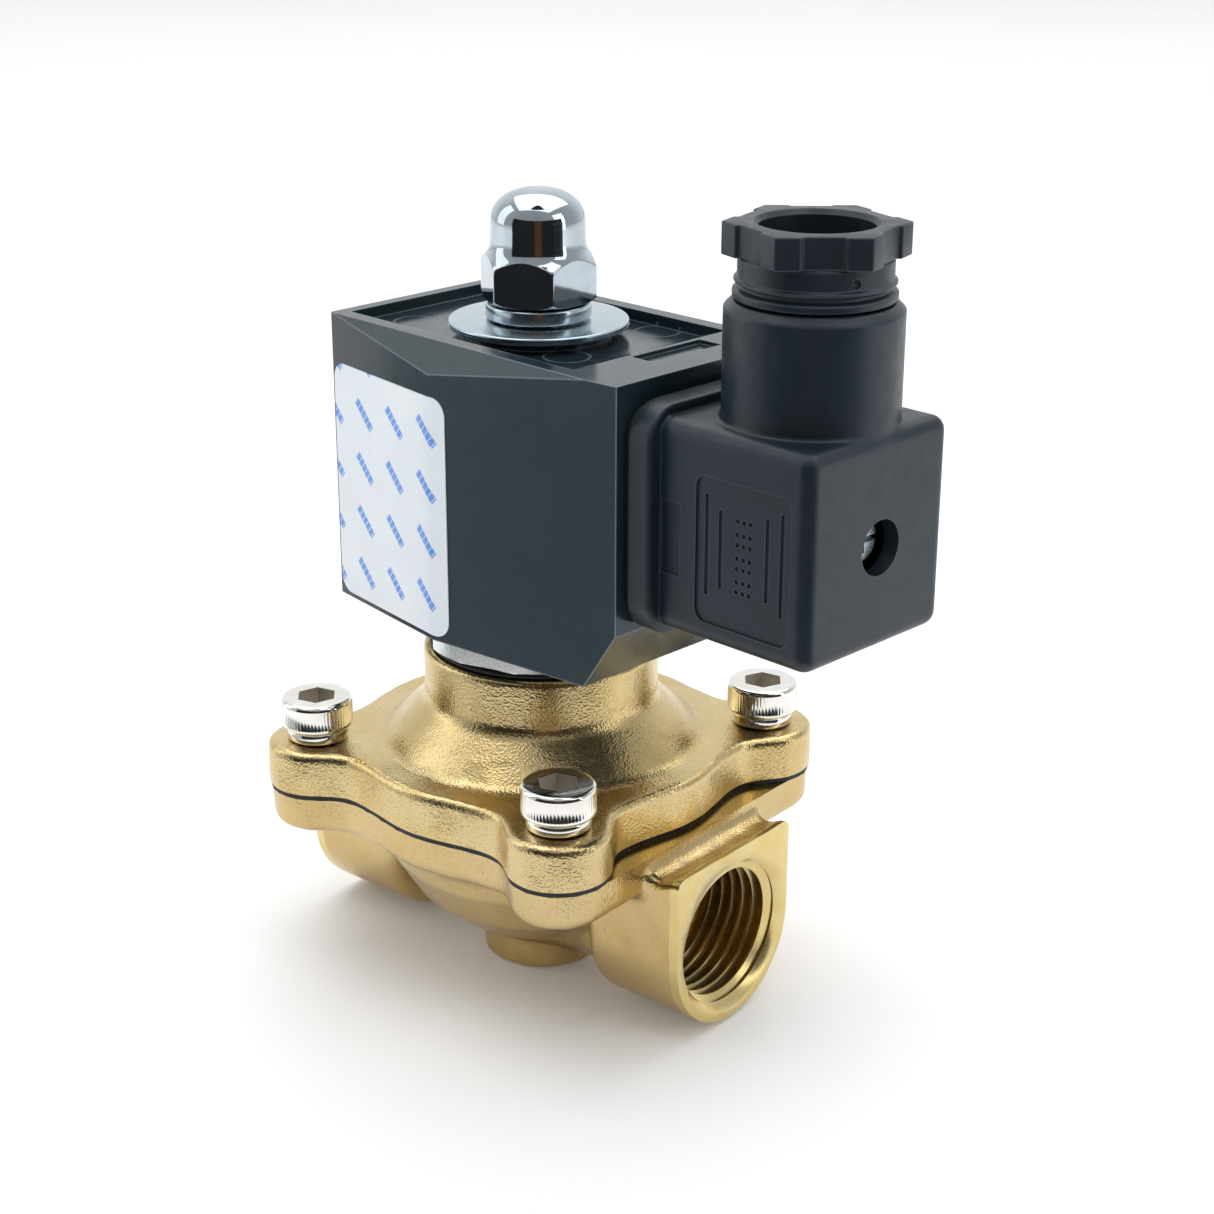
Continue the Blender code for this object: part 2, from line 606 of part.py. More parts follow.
def make_stud_hardware():
    """Flat washer, spring washer and domed cap nut, which clamp the coil to the tube."""
    washer("flat_washer", 4.5 * MM, WASHER_R, WASHER_LOW, WASHER_LOW + WASHER_H, ZINC, steps=40)
    washer("spring_washer", 4.5 * MM, SPRING_WASHER_R, WASHER_LOW + WASHER_H + SEAT, NUT_LOW - SEAT, ZINC,
           steps=32)
    neck = 104.2 * MM
    nut = plate("cap_nut", [hex_outline(NUT_FLAT, turn=NUT_TURN)], NUT_LOW, neck, CHROME)
    dome = turned("nut_dome", dome_points() + [(NUT_WAIST, 99 * MM), (0, 99 * MM)])
    outside = turned("nut_outside", [(12 * MM, 108 * MM), (12 * MM, 90 * MM), (6.6 * MM, 96.2 * MM),
                                     (8.1 * MM, 97.5 * MM), (8.1 * MM, 101.7 * MM), (7 * MM, 103 * MM),
                                     (6.5 * MM, neck), (NUT_WAIST, 108 * MM)], ring=True)
    thread = rod("nut_thread", STUD_R + GAP, 90 * MM, STUD_TOP + 0.8 * MM)
    cut(nut, outside)
    join(nut, dome)
    cut(nut, thread)


def dome_points():
    """The cap nut's domed end as (radius, height), a little squarer than an ellipse."""
    power = 2 / 2.3
    quarter = math.pi / 2
    steps = 9
    angles = [quarter * step / steps for step in range(steps + 1)]
    return [(NUT_WAIST * math.sin(a) ** power, NUT_DOME + (NUT_TOP - NUT_DOME) * max(math.cos(a), 0) ** power)
            for a in angles]


# ---------------------------------------------------------------- cable plug

def make_plug(axis):
    housing = plate("plug_housing", [rounded_rectangle(BOX_HALF, BOX_LOW, BOX_TOP, 1.8 * MM)],
                    COLLAR_X + 1 * MM, BOX_END, PLUG_PLASTIC, axis, along="X")
    collar = plate("plug_collar", [rounded_rectangle(COLLAR_HALF, COLLAR_LOW, COLLAR_TOP, 4 * MM, 6)],
                   COLLAR_X, COLLAR_END, parent=axis, along="X")
    rim = 0.9 * MM
    gland = turned("plug_gland", [(0, GLAND_TOP), (GLAND_R - rim, GLAND_TOP), (GLAND_R, GLAND_TOP - rim),
                                  (GLAND_R, BOX_TOP - 3 * MM), (0, BOX_TOP - 3 * MM)], parent=axis, x=GLAND_X)
    join(housing, collar, gland)
    inside = BOX_HALF - WALL
    hollow = block("plug_hollow", (COLLAR_X - 1 * MM, -inside, BOX_LOW + WALL),
                   (BOX_END - WALL, inside, BOX_TOP - WALL), parent=axis)
    entry = turned("plug_entry", [(0, GLAND_TOP + 5 * MM), (GLAND_BORE, GLAND_TOP + 5 * MM),
                                  (GLAND_BORE, GLAND_LEDGE), (6.5 * MM, GLAND_LEDGE),
                                  (6.5 * MM, 80 * MM), (0, 80 * MM)], parent=axis, x=GLAND_X)
    access = rod_x("plug_access", ACCESS_R, 50 * MM, 62 * MM, z=PLUG_MID_Z, parent=axis)
    panel_depth = 0.4 * MM
    panel = plate("plug_panel", [[(65.9 * MM, 41.5 * MM), (65.9 * MM, 55.3 * MM),
                                  (84.4 * MM, 55.3 * MM), (84.4 * MM, 41.5 * MM)]],
                  -BOX_HALF - 1 * MM, -BOX_HALF + panel_depth, parent=axis, along="Y")
    cut(housing, hollow, entry, access, panel)
    gasket_half = 14.4 * MM
    plate("plug_gasket", [rounded_rectangle(gasket_half, COLLAR_LOW + 0.8 * MM, COLLAR_TOP - 0.8 * MM, 3.5 * MM),
                          rounded_rectangle(11 * MM, 65.2 * MM, 87.8 * MM, 1.5 * MM, 2)],
          COIL_FRONT + SEAT, COLLAR_X - SEAT, RUBBER_BLACK, axis, along="X")


def make_terminal_block(axis):
    """The moulded insert that holds the clamps, slotted for the blades and drilled for the screw."""
    inside = BOX_HALF - WALL - GAP
    low_x = 32.0 * MM
    high_x = 44.0 * MM
    insert = block("terminal_block", (low_x, -inside, BOX_LOW + WALL + GAP),
                   (high_x, inside, BOX_TOP - WALL - GAP), SPOOL_PLASTIC, axis)
    slots = [block(f"block_slot_{index}", low, high, parent=axis)
             for index, (low, high) in enumerate(blade_boxes(30 * MM, 40 * MM, GAP), start=1)]
    cut(insert, rod_x("block_bore", 1.8 * MM, 30 * MM, 46 * MM, z=PLUG_MID_Z, steps=16, parent=axis), *slots)
    heights = (PLUG_MID_Z + BLADE_OFF, PLUG_MID_Z - BLADE_OFF, PLUG_MID_Z)
    for index, height in enumerate(heights, start=1):
        rod_x(f"clamp_screw_{index}", 1.9 * MM, high_x + SEAT, high_x + 2.2 * MM, 6 * MM, height, ZINC, 12, axis)


def make_plug_screw(axis):
    head_x = BOX_END - WALL - 2.44 * MM          # its head lies just inside the screwdriver hole
    screw = rod_x("plug_screw", 2.9 * MM, head_x, head_x + 2.2 * MM, z=PLUG_MID_Z, mat=ZINC, parent=axis)
    shank = rod_x("plug_screw_shank", 1.45 * MM, 24 * MM, head_x + 1 * MM, z=PLUG_MID_Z, steps=16, parent=axis)
    slot = block("plug_screw_slot", (head_x + 1.3 * MM, -4 * MM, PLUG_MID_Z - 0.4 * MM),
                 (head_x + 4 * MM, 4 * MM, PLUG_MID_Z + 0.4 * MM), parent=axis)
    cut(join(screw, shank), slot)


def grip_outline():
    """A hexagon about the gland with a shallow notch in the middle of each side."""
    corner = GRIP_FLAT * math.tan(math.pi / 6)
    floor = NOTCH_HALF - 0.2 * MM
    side = [(-corner, GRIP_FLAT), (-NOTCH_HALF, GRIP_FLAT), (-floor, GRIP_FLAT - NOTCH_DEPTH),
            (floor, GRIP_FLAT - NOTCH_DEPTH), (NOTCH_HALF, GRIP_FLAT)]
    points = []
    for index in range(6):
        # the first side faces +Y; its left corner comes first, so the sides run clockwise
        turn = Matrix.Rotation(GRIP_TURN - 2 * math.pi / 3 - index * math.pi / 3, 2)
        points += [tuple(turn @ Vector(point) + Vector((GLAND_X, 0))) for point in side]
    return points


def make_gland(axis):
    seal_top = 98.1 * MM
    ring_top = 99.2 * MM
    skirt = 9.3 * MM
    thread = 9.9 * MM
    washer("gland_seal", 5 * MM, GLAND_BORE - GAP, GLAND_LEDGE + SEAT, seal_top, RUBBER_BLACK, parent=axis,
           x=GLAND_X)
    washer("gland_ring", 5.2 * MM, GLAND_BORE - GAP, seal_top + SEAT, ring_top, ZINC, parent=axis, x=GLAND_X)
    nut = plate("gland_nut", [grip_outline(), circle((GLAND_X, 0), CABLE_R)], GRIP_LOW, GRIP_TOP,
                PLUG_PLASTIC, axis)
    collar_top = 107.0 * MM
    collar_low = GLAND_TOP + GAP
    spigot = GLAND_BORE - GAP
    sleeve = turned("gland_sleeve", [(CABLE_R, 112 * MM), (skirt, 112 * MM), (skirt, collar_top),
                                     (thread, collar_top), (thread, collar_low), (spigot, collar_low),
                                     (spigot, ring_top + SEAT), (CABLE_R, ring_top + SEAT)],
                    parent=axis, x=GLAND_X, ring=True, steps=24)
    join(nut, sleeve)


def main():
    coil_axis = bpy.data.objects.new("coil_axis", None)
    PARTS.objects.link(coil_axis)
    coil_axis.rotation_euler.z = COIL_TURN
    make_body()
    make_diaphragm()
    make_cover()
    make_cover_screws()
    make_tube()
    make_core()
    make_plunger()
    make_coil(coil_axis)
    make_yoke(coil_axis)
    make_terminals(coil_axis)
    make_label(coil_axis)
    make_stud_hardware()
    make_plug(coil_axis)
    make_terminal_block(coil_axis)
    make_plug_screw(coil_axis)
    make_gland(coil_axis)
    bpy.context.view_layer.update()


main()
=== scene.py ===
"""Looks of the solenoid valve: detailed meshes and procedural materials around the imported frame.

Lengths here are millimetres in the row frame, and meshes are stored in metres. The coil, the label and
the cable plug are modelled in the coil's own frame, which is turned a few degrees about the tube.
"""
import json
import math

import bmesh
import bpy
import numpy as np
from mathutils import Matrix, Vector


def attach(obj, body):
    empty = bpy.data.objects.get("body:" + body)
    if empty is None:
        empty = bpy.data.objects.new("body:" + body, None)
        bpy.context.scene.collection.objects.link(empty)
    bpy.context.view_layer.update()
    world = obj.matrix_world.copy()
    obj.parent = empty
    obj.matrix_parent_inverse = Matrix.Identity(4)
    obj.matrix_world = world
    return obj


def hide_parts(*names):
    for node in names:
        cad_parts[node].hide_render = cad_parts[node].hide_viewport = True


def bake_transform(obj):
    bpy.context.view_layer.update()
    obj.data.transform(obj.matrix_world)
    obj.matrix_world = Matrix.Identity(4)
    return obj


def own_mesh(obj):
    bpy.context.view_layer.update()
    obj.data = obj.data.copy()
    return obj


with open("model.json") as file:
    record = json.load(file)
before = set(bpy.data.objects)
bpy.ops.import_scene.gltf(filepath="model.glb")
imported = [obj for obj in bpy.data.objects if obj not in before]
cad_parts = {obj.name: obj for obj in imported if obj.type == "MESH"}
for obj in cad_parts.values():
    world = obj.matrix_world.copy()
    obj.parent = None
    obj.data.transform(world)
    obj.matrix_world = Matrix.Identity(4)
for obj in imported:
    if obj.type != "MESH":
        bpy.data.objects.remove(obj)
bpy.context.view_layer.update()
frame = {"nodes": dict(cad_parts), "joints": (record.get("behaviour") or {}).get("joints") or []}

MM = 0.001
QUARTER = math.pi / 2
COARSE = 1.0          # a trial run uses wider grids
SHARP = math.radians(42)                     # a fold sharper than this is shaded as an edge


# ---------------------------------------------------------------- places, read from the frame

def corners(node, turn=0.0):
    """Lowest and highest corner of a CAD node in millimetres, in a frame turned about Z."""
    places = np.array([vertex.co for vertex in frame["nodes"][node].data.vertices]) / MM
    places = places @ np.array(Matrix.Rotation(turn, 3, "Z"))
    return Vector(places.min(0)), Vector(places.max(0))


pull = next(joint["axis"] for joint in frame["joints"] if joint["name"] == "plug_pull")
COIL_TURN = math.atan2(pull[1], pull[0])
TO_ROW = Matrix.Rotation(COIL_TURN, 4, "Z")

body_low, body_high = corners("valve_body")
cover_low, cover_high = corners("cover")
screw_low, screw_high = corners("cover_screw_1")
lock_low, lock_high = corners("lock_washer_1")
coil_low, coil_high = corners("coil_housing", COIL_TURN)
plug_low, plug_high = corners("plug_housing", COIL_TURN)
grip_low, grip_high = corners("gland_nut", COIL_TURN)
ring_low, ring_high = corners("gland_ring", COIL_TURN)
nut_low, nut_high = corners("cap_nut")
flat_low, flat_high = corners("flat_washer")
spring_low, spring_high = corners("spring_washer")
tube_low, tube_high = corners("armature_tube")
hold_low, hold_high = corners("plug_screw", COIL_TURN)

SEAT = 0.15                                  # gap that the frame leaves between touching faces
BODY_TOP = body_high.z
PORT_FACE = body_high.x
COVER_LOW = cover_low.z
COVER_TOP = lock_low.z - SEAT
NECK_TOP = cover_high.z
BOLT = (screw_low.x + screw_high.x) / 2
HEAD_R = (screw_high.x - screw_low.x) / 2
HEAD_TOP = screw_high.z
HEAD_LOW = lock_high.z + SEAT
KNURL_LOW = HEAD_LOW + 0.75
KNURL_TOP = HEAD_TOP - 0.75
LOBE_R = cover_high.x - BOLT
GLAND_X = (ring_low.x + ring_high.x) / 2
PLUG_MID_Z = (hold_low.z + hold_high.z) / 2

# Sizes that the frame's boxes don't show
PORT_Z = 13.0
PORT_R = 12.5
PORT_TOP = 26.0
PORT_INNER = 18.2
FLANGE_LOW = 21.9
TROUGH = (31.5, 27.3)                        # middle of the hollow above each port, as (x, z)
TROUGH_R = 2.25
OUTLET_Z = 9.6                               # passage from the seat to the outlet
OUTLET_R = 4.6
BOLT_HOLE = 2.8
LOBE_TURN = math.radians(38)
SIDE_WAVE = 13.0
SIDE_MID = 26.45
SIDE_SWELL = 0.95
CHAMBER_R = 17.5
NECK_R = 16.5
SOCKET_CORNER = 2.887                        # for a 5 mm key
SOCKET_DEPTH = 3.0
THREAD_MAJOR = 10.48                         # G 1/2
THREAD_MINOR = 9.32
THREAD_PITCH = 1.814
THREAD_END = 20.8
COIL_HALF = 16.15
CREASE_X = -0.7
CREASE_HALF = coil_high.y
SHOULDER_X = 25.5
SHOULDER_HALF = 16.5
POCKET_FLOOR = 92.1
COLLAR_END = 35.0
COLLAR_TOP = 91.5
BOX_HALF = 13.1
BOX_LOW = 62.9
BOX_TOP = 90.2
BOX_WALL = 2.2
PANEL_LOW = (40.9, 65.8)
PANEL_HIGH = (55.9, 84.5)
PANEL_DEPTH = 0.7
ACCESS_R = 3.55                              # screwdriver hole
GLAND_R = 10.9
GLAND_BORE = 8.4
GLAND_LEDGE = 92.2
CABLE_R = 7.0
GRIP_LOW = 110.05
GRIP_FLAT = 9.8
GRIP_TURN = math.radians(44.6)
TUBE_R = 7.0
STUD_R = 4.0
NUT_FLAT = 7.0
NUT_WAIST = 6.35
NUT_DOME = 107.0                             # where the waist starts to close into the dome
NUT_TURN = math.radians(24.5)
HEX_FLAT = 15.0
HEX_ROUND = 16.3
HEX_TURN = math.radians(12)
HEX_LOW = 48.9
HEX_TOP = 52.7
FAR = 60.0                                   # beyond the object on every side
FRONT = math.radians(-50.5)                  # direction of the front, from which the object is mostly seen
LAMP_AIM = Vector((0.0, 0.0, 0.055))         # in metres


# ---------------------------------------------------------------- solids as distance fields

class Grid:
    """Sample places for a field of signed distances, negative inside the solid."""

    def __init__(self, low, high, step):
        self.step = step * COARSE
        margin = 2.5 * self.step
        self.low = np.array(low, float) - margin
        counts = np.ceil((np.array(high, float) + margin - self.low) / self.step).astype(int) + 1
        lines = [(start + self.step * np.arange(count)).astype(np.float32)
                 for start, count in zip(self.low, counts)]
        self.x = lines[0][:, None, None]
        self.y = lines[1][None, :, None]
        self.z = lines[2][None, None, :]

    def radius(self, x=0.0, y=0.0):
        return np.hypot(self.x - x, self.y - y)


def outline_distance(points, u, v):
    """Distance to a closed outline in a plane, negative inside."""
    near = np.full(np.broadcast_shapes(u.shape, v.shape), 1e9, np.float32)
    inside = np.zeros(near.shape, bool)
    for (u0, v0), (u1, v1) in zip(points, points[1:] + points[:1]):
        du, dv = u1 - u0, v1 - v0
        t = np.clip(((u - u0) * du + (v - v0) * dv) / (du * du + dv * dv), 0, 1)
        near = np.minimum(near, (u - u0 - t * du) ** 2 + (v - v0 - t * dv) ** 2)
        if v0 != v1:
            inside ^= ((v0 > v) != (v1 > v)) & (u < du * (v - v0) / dv + u0)
    return np.where(inside, -1, 1) * np.sqrt(near)


def slab(edge, along, low, high, rounding=0.0):
    """An outline's distance, extruded from low to high, with its rims rounded."""
    side = edge + rounding
    end = np.abs(along - (low + high) / 2) - (high - low) / 2 + rounding
    outside = np.hypot(np.maximum(side, 0), np.maximum(end, 0))
    return np.minimum(np.maximum(side, end), 0) + outside - rounding


def union(a, b, fillet=0.0):
    if not fillet:
        return np.minimum(a, b)
    return np.minimum(a, b) - np.maximum(fillet - np.abs(a - b), 0) ** 2 / (4 * fillet)


def remove(a, b, fillet=0.0):
    return -union(-a, b, fillet)


def sample(values, places):
    """The field and its slope at places given in grid steps."""
    base = np.clip(np.floor(places).astype(int), 0, np.array(values.shape) - 2)
    t = places - base
    total = np.zeros(len(places))
    slope = np.zeros_like(places)
    for corner in np.ndindex(2, 2, 2):
        weights = [t[:, axis] if bit else 1 - t[:, axis] for axis, bit in enumerate(corner)]
        found = values[base[:, 0] + corner[0], base[:, 1] + corner[1], base[:, 2] + corner[2]]
        total += found * weights[0] * weights[1] * weights[2]
        for axis, bit in enumerate(corner):
            others = weights[(axis + 1) % 3] * weights[(axis + 2) % 3]
            slope[:, axis] += (found if bit else -found) * others
    return total, slope


def surface(values, grid):
    """Naive surface nets: one point in each cell that the surface crosses, joined by quads."""
    for axis in range(3):
        for end in (0, -1):                  # the solid is closed where the grid ends
            rim = tuple(end if k == axis else slice(None) for k in range(3))
            values[rim] = np.maximum(values[rim], 0.5 * grid.step)
    inside = values < 0
    cells = tuple(count - 1 for count in values.shape)
    spans = [slice(0, -1), slice(1, None)]
    count = np.zeros(cells, np.int8)
    for corner in np.ndindex(2, 2, 2):
        count += inside[tuple(spans[bit] for bit in corner)]
    mixed = (count > 0) & (count < 8)
    index = np.full(cells, -1, np.int64)
    index[mixed] = np.arange(np.count_nonzero(mixed))
    cell = np.argwhere(mixed)
    total = np.zeros((len(cell), 3))
    hits = np.zeros(len(cell))
    for axis in range(3):
        step = np.eye(3, dtype=int)[axis]
        for corner in np.ndindex(2, 2, 2):
            if corner[axis]:
                continue
            first = values[tuple((cell + corner).T)]
            second = values[tuple((cell + corner + step).T)]
            crossed = (first < 0) != (second < 0)
            t = np.divide(first, first - second, out=np.zeros(len(cell)), where=crossed)
            total += (np.array(corner) + t[:, None] * step) * crossed[:, None]
            hits += crossed
    places = cell + total / hits[:, None]
    for _ in range(2):
        found, slope = sample(values, places)
        steep = np.maximum((slope ** 2).sum(1), 0.2 * grid.step ** 2)
        move = -(found / steep)[:, None] * slope
        places += np.clip(move, -0.5, 0.5)
    quads = []
    for axis in range(3):
        a, b = (axis + 1) % 3, (axis + 2) % 3
        here = [slice(1, -1)] * 3
        here[axis] = slice(0, -1)
        ahead = list(here)
        ahead[axis] = slice(1, None)
        starts = inside[tuple(here)]
        edge = np.argwhere(starts != inside[tuple(ahead)])
        outward = starts[tuple(edge.T)]
        edge = edge + [0 if k == axis else 1 for k in range(3)]
        back_a, back_b = np.eye(3, dtype=int)[a], np.eye(3, dtype=int)[b]
        ring = [edge - back_a - back_b, edge - back_b, edge, edge - back_a]
        quad = np.stack([index[tuple(place.T)] for place in ring], 1)
        quads.append(np.where(outward[:, None], quad, quad[:, ::-1]))
    return places * grid.step + grid.low, np.concatenate(quads)


# ---------------------------------------------------------------- meshes

def new_mesh(name, points, faces):
    mesh = bpy.data.meshes.new(name)
    mesh.from_pydata(np.asarray(points, float) * MM, [], [list(face) for face in faces])
    mesh.validate()
    return mesh


def edit_mesh(mesh, change):
    """Run a change on a mesh in editable form."""
    bm = bmesh.new()
    bm.from_mesh(mesh)
    change(bm)
    bm.to_mesh(mesh)
    bm.free()


def new_object(name, data):
    item = bpy.data.objects.new(name, data)
    bpy.context.scene.collection.objects.link(item)
    return item


def grown(name, values, grid):
    return new_object(name, new_mesh(name, *surface(values, grid)))


def turned(name, profile, steps=96, shape=None, ring=False, center=(0.0, 0.0)):
    """Turn (radius, height) points about an upright axis; shape may change the radius round the turn.

    The profile runs down the outer side; a ring profile closes on itself, and any other one
    starts and ends on the axis.
    """
    angles = 2 * math.pi * np.arange(steps) / steps
    points = []
    rows = []
    for radius, height in profile:
        if radius == 0:
            rows.append([len(points)] * steps)
            points.append((*center, height))
            continue
        reach = np.full(steps, float(radius))
        if shape:
            reach = shape(reach, height, angles)
        rows.append(range(len(points), len(points) + steps))
        points += [(center[0] + r * math.cos(a), center[1] + r * math.sin(a), height)
                   for r, a in zip(reach, angles)]
    faces = []
    pairs = list(zip(rows, rows[1:])) + ([(rows[-1], rows[0])] if ring else [])
    for upper, lower in pairs:
        for k in range(steps):
            n = (k + 1) % steps
            face = [upper[k], lower[k], lower[n], upper[n]]
            face = [v for i, v in enumerate(face) if v not in face[:i]]
            if len(face) > 2:
                faces.append(face)
    return new_object(name, new_mesh(name, points, faces))


def prism(name, outline, low, high, along="Z"):
    """A flat outline, counterclockwise, extruded from low to high.

    Along X the outline is given as (y, z), and along Y as (z, x).
    """
    order = {"X": (2, 0, 1), "Y": (1, 2, 0), "Z": (0, 1, 2)}[along]
    count = len(outline)
    flat = [(u, v, low) for u, v in outline] + [(u, v, high) for u, v in outline]
    points = [tuple(point[k] for k in order) for point in flat]
    faces = [list(range(count))[::-1], list(range(count, 2 * count))]
    faces += [[k, (k + 1) % count, (k + 1) % count + count, k + count] for k in range(count)]
    return new_object(name, new_mesh(name, points, faces))


def box_outline(low, high):
    return [(low[0], low[1]), (high[0], low[1]), (high[0], high[1]), (low[0], high[1])]


def block(name, low, high):
    return prism(name, box_outline(low, high), low[2], high[2])


def rod_x(name, radius, low, high, y=0.0, z=0.0, steps=64):
    return prism(name, arc((y, z), radius, 0, 4 * QUARTER, steps)[:-1], low, high, along="X")


def bake(item):
    """Apply an object's modifiers and place to its mesh."""
    bpy.context.view_layer.update()
    seen = item.evaluated_get(bpy.context.evaluated_depsgraph_get())
    mesh = bpy.data.meshes.new_from_object(seen)
    mesh.transform(item.matrix_world)
    item.modifiers.clear()
    item.data = mesh
    item.matrix_world = Matrix.Identity(4)
    return item


def combine(item, tools, operation, solver="MANIFOLD"):
    for tool in tools:
        modifier = item.modifiers.new("combine", "BOOLEAN")
        modifier.operation = operation
        modifier.solver = solver
        modifier.object = tool
    bake(item)
    for tool in tools:
        bpy.data.objects.remove(tool, do_unlink=True)
    return item


def carve(item, *tools, solver="MANIFOLD"):
    return combine(item, tools, "DIFFERENCE", solver)


def weld(item, *tools):
    return combine(item, tools, "UNION")


def soften(item, width, above):
    """Round the edges that fold more than an angle in degrees."""
    modifier = item.modifiers.new("soften", "BEVEL")
    modifier.width = width * MM
    modifier.segments = 3
    modifier.limit_method = "ANGLE"
    modifier.angle_limit = math.radians(above)
    modifier.miter_outer = "MITER_ARC"
    modifier.use_clamp_overlap = True
    return bake(item)


def arc(center, radius, start, end, steps):
    angles = [start + (end - start) * step / steps for step in range(steps + 1)]
    return [(center[0] + radius * math.cos(a), center[1] + radius * math.sin(a)) for a in angles]


def rounded_outline(low, high, radius, steps=8):
    """A rectangle between two corners, counterclockwise, with rounded corners."""
    spots = [(high[0] - radius, high[1] - radius), (low[0] + radius, high[1] - radius),
             (low[0] + radius, low[1] + radius), (high[0] - radius, low[1] + radius)]
    points = []
    for index, spot in enumerate(spots):
        points += arc(spot, radius, index * QUARTER, (index + 1) * QUARTER, steps)
    return points


def rounded_profile(points, radius, steps=4):
    """Round the corners of an open (radius, height) profile, apart from its ends."""
    made = [points[0]]
    for before, here, after in zip(points, points[1:], points[2:]):
        corner = Vector(here)
        back, ahead = Vector(before) - corner, Vector(after) - corner
        reach = min(radius, back.length * 0.45, ahead.length * 0.45)
        start, end = corner + back.normalized() * reach, corner + ahead.normalized() * reach
        for step in range(steps + 1):
            t = step / steps
            made.append(tuple(start * (1 - t) ** 2 + corner * 2 * t * (1 - t) + end * t * t))
    made.append(points[-1])
    return made


def hexagon(flat, turn):
    """Keeps a turned piece inside a hexagon with one corner at the given angle, for turned()."""
    def limit(reach, height, angles):
        return np.minimum(reach, flat / np.cos((angles - turn) % (math.pi / 3) - math.pi / 6))
    return limit


def finish_piece(item, body, materials, nodes=(), split=SHARP, flat=False):
    """Shade a piece, give it its materials, and set it on its body in place of its CAD nodes."""
    mesh = item.data
    mesh.materials.clear()
    for material in materials:
        mesh.materials.append(material)
    mesh.shade_smooth()
    mesh.set_sharp_from_angle(angle=split)
    if flat:
        item.modifiers.new("flat faces stay flat", "WEIGHTED_NORMAL").keep_sharp = True
        bake(item)
    if body:
        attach(item, body)
    if nodes:
        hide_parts(*nodes)
    return item


# ---------------------------------------------------------------- materials

class Paint:
    """A material's node tree, with short calls for the nodes that it is made of.

    Places are object coordinates, which on every piece are the row frame at rest, in metres.
    """

    def __init__(self, name, color, roughness, metallic=0.0):
        self.material = bpy.data.materials.new(name)
        self.material.use_nodes = True
        self.tree = self.material.node_tree
        self.shader = self.tree.nodes["Principled BSDF"]
        self.place = self.tree.nodes.new("ShaderNodeTexCoord").outputs["Object"]
        self.set(self.shader, {"Base Color": (*color, 1.0), "Roughness": roughness, "Metallic": metallic})

    def set(self, node, values):
        for key, value in values.items():
            socket = node.inputs[key]
            if isinstance(value, bpy.types.NodeSocket):
                self.tree.links.new(value, socket)
            else:
                socket.default_value = value

    def surface(self, **values):
        self.set(self.shader, {key.replace("_", " "): value for key, value in values.items()})

    def node(self, kind, values, **settings):
        node = self.tree.nodes.new("ShaderNode" + kind)
        for key, value in settings.items():
            setattr(node, key, value)
        self.set(node, values)
        return node

    def noise(self, size, detail=3.0, roughness=0.55, place=None):
        """Cloudy noise whose features are about a size in millimetres."""
        values = {"Vector": place or self.place, "Scale": 1 / (size * MM), "Detail": detail,
                  "Roughness": roughness}
        return self.node("TexNoise", values).outputs["Fac"]

    def stretched(self, scale):
        return self.node("Mapping", {"Vector": self.place, "Scale": scale}).outputs["Vector"]

    def axes(self):
        found = self.node("SeparateXYZ", {"Vector": self.place}).outputs
        return found["X"], found["Y"], found["Z"]

    def math(self, operation, a, b=0.0):
        return self.node("Math", {0: a, 1: b}, operation=operation).outputs[0]

    def times(self, a, b):
        return self.math("MULTIPLY", a, b)

    def length(self, a, b):
        """Length of a vector in a plane."""
        return self.math("SQRT", self.math("ADD", self.times(a, a), self.times(b, b)))

    def between(self, value, low, high, out_low=0.0, out_high=1.0):
        """A value from low to high, mapped to the two outputs and held within them."""
        values = {"Value": value, "From Min": low, "From Max": high, "To Min": out_low, "To Max": out_high}
        return self.node("MapRange", values).outputs["Result"]

    def mix(self, share, a, b):
        """Two colours mixed; 6, 7 and 2 are the places of the node's colour sockets."""
        a, b = (color if isinstance(color, bpy.types.NodeSocket) else (*color, 1.0) for color in (a, b))
        return self.node("Mix", {0: share, 6: a, 7: b}, data_type="RGBA").outputs[2]

    def bump(self, height, depth, strength=1.0, under=None):
        """Bump whose height of 1 stands a depth in millimetres."""
        values = {"Height": height, "Distance": depth * MM, "Strength": strength}
        if under:
            values["Normal"] = under
        return self.node("Bump", values).outputs["Normal"]


def cast_brass():
    """Sand-cast brass: a pebbled skin with dark hollows, specks and brown stains; the body below the bonnet
    seam is darker, with painted shade deepening towards the bottom.
    """
    paint = Paint("cast_brass", (0.8, 0.62, 0.3), 0.3, 1.0)
    pebble = paint.node("TexVoronoi", {"Vector": paint.place, "Scale": 1 / (0.34 * MM)}).outputs["Distance"]
    grain = paint.math("ADD", paint.times(pebble, 0.7), paint.times(paint.noise(0.5, 2.0), 0.5))
    tone = paint.mix(paint.between(paint.noise(11, 4.0), 0.3, 0.7), (0.61, 0.46, 0.205), (0.70, 0.56, 0.30))
    speck = paint.between(paint.noise(0.8, 4.0), 0.62, 0.74)
    tone = paint.mix(paint.times(speck, 0.35), tone, (0.45, 0.29, 0.10))
    stain = paint.between(paint.noise(6.5, 5.0, 0.65), 0.57, 0.70)
    tone = paint.mix(paint.times(stain, 0.6), tone, (0.62, 0.38, 0.12))
    tone = paint.mix(paint.between(grain, 0.36, 0.56, 0.4, 0.0), tone, (0.46, 0.31, 0.10))
    height = paint.axes()[2]
    # The body below the bonnet seam is a step darker; under that, painted shade deepens towards the bottom.
    tone = paint.mix(paint.between(height, 0.0285, 0.027, 0.0, 0.28), tone, (0.54, 0.38, 0.17))
    tone = paint.mix(paint.between(height, 0.024, 0.006, 0.0, 0.3), tone, (0.58, 0.40, 0.15))
    rough = paint.between(paint.noise(3.0, 3.0), 0.3, 0.7, 0.20, 0.29)
    lump = paint.bump(paint.noise(2.4, 2.0), 0.10, 0.5)
    paint.surface(Base_Color=tone, Roughness=rough, Normal=paint.bump(grain, 0.052, 1.0, lump))
    return paint.material


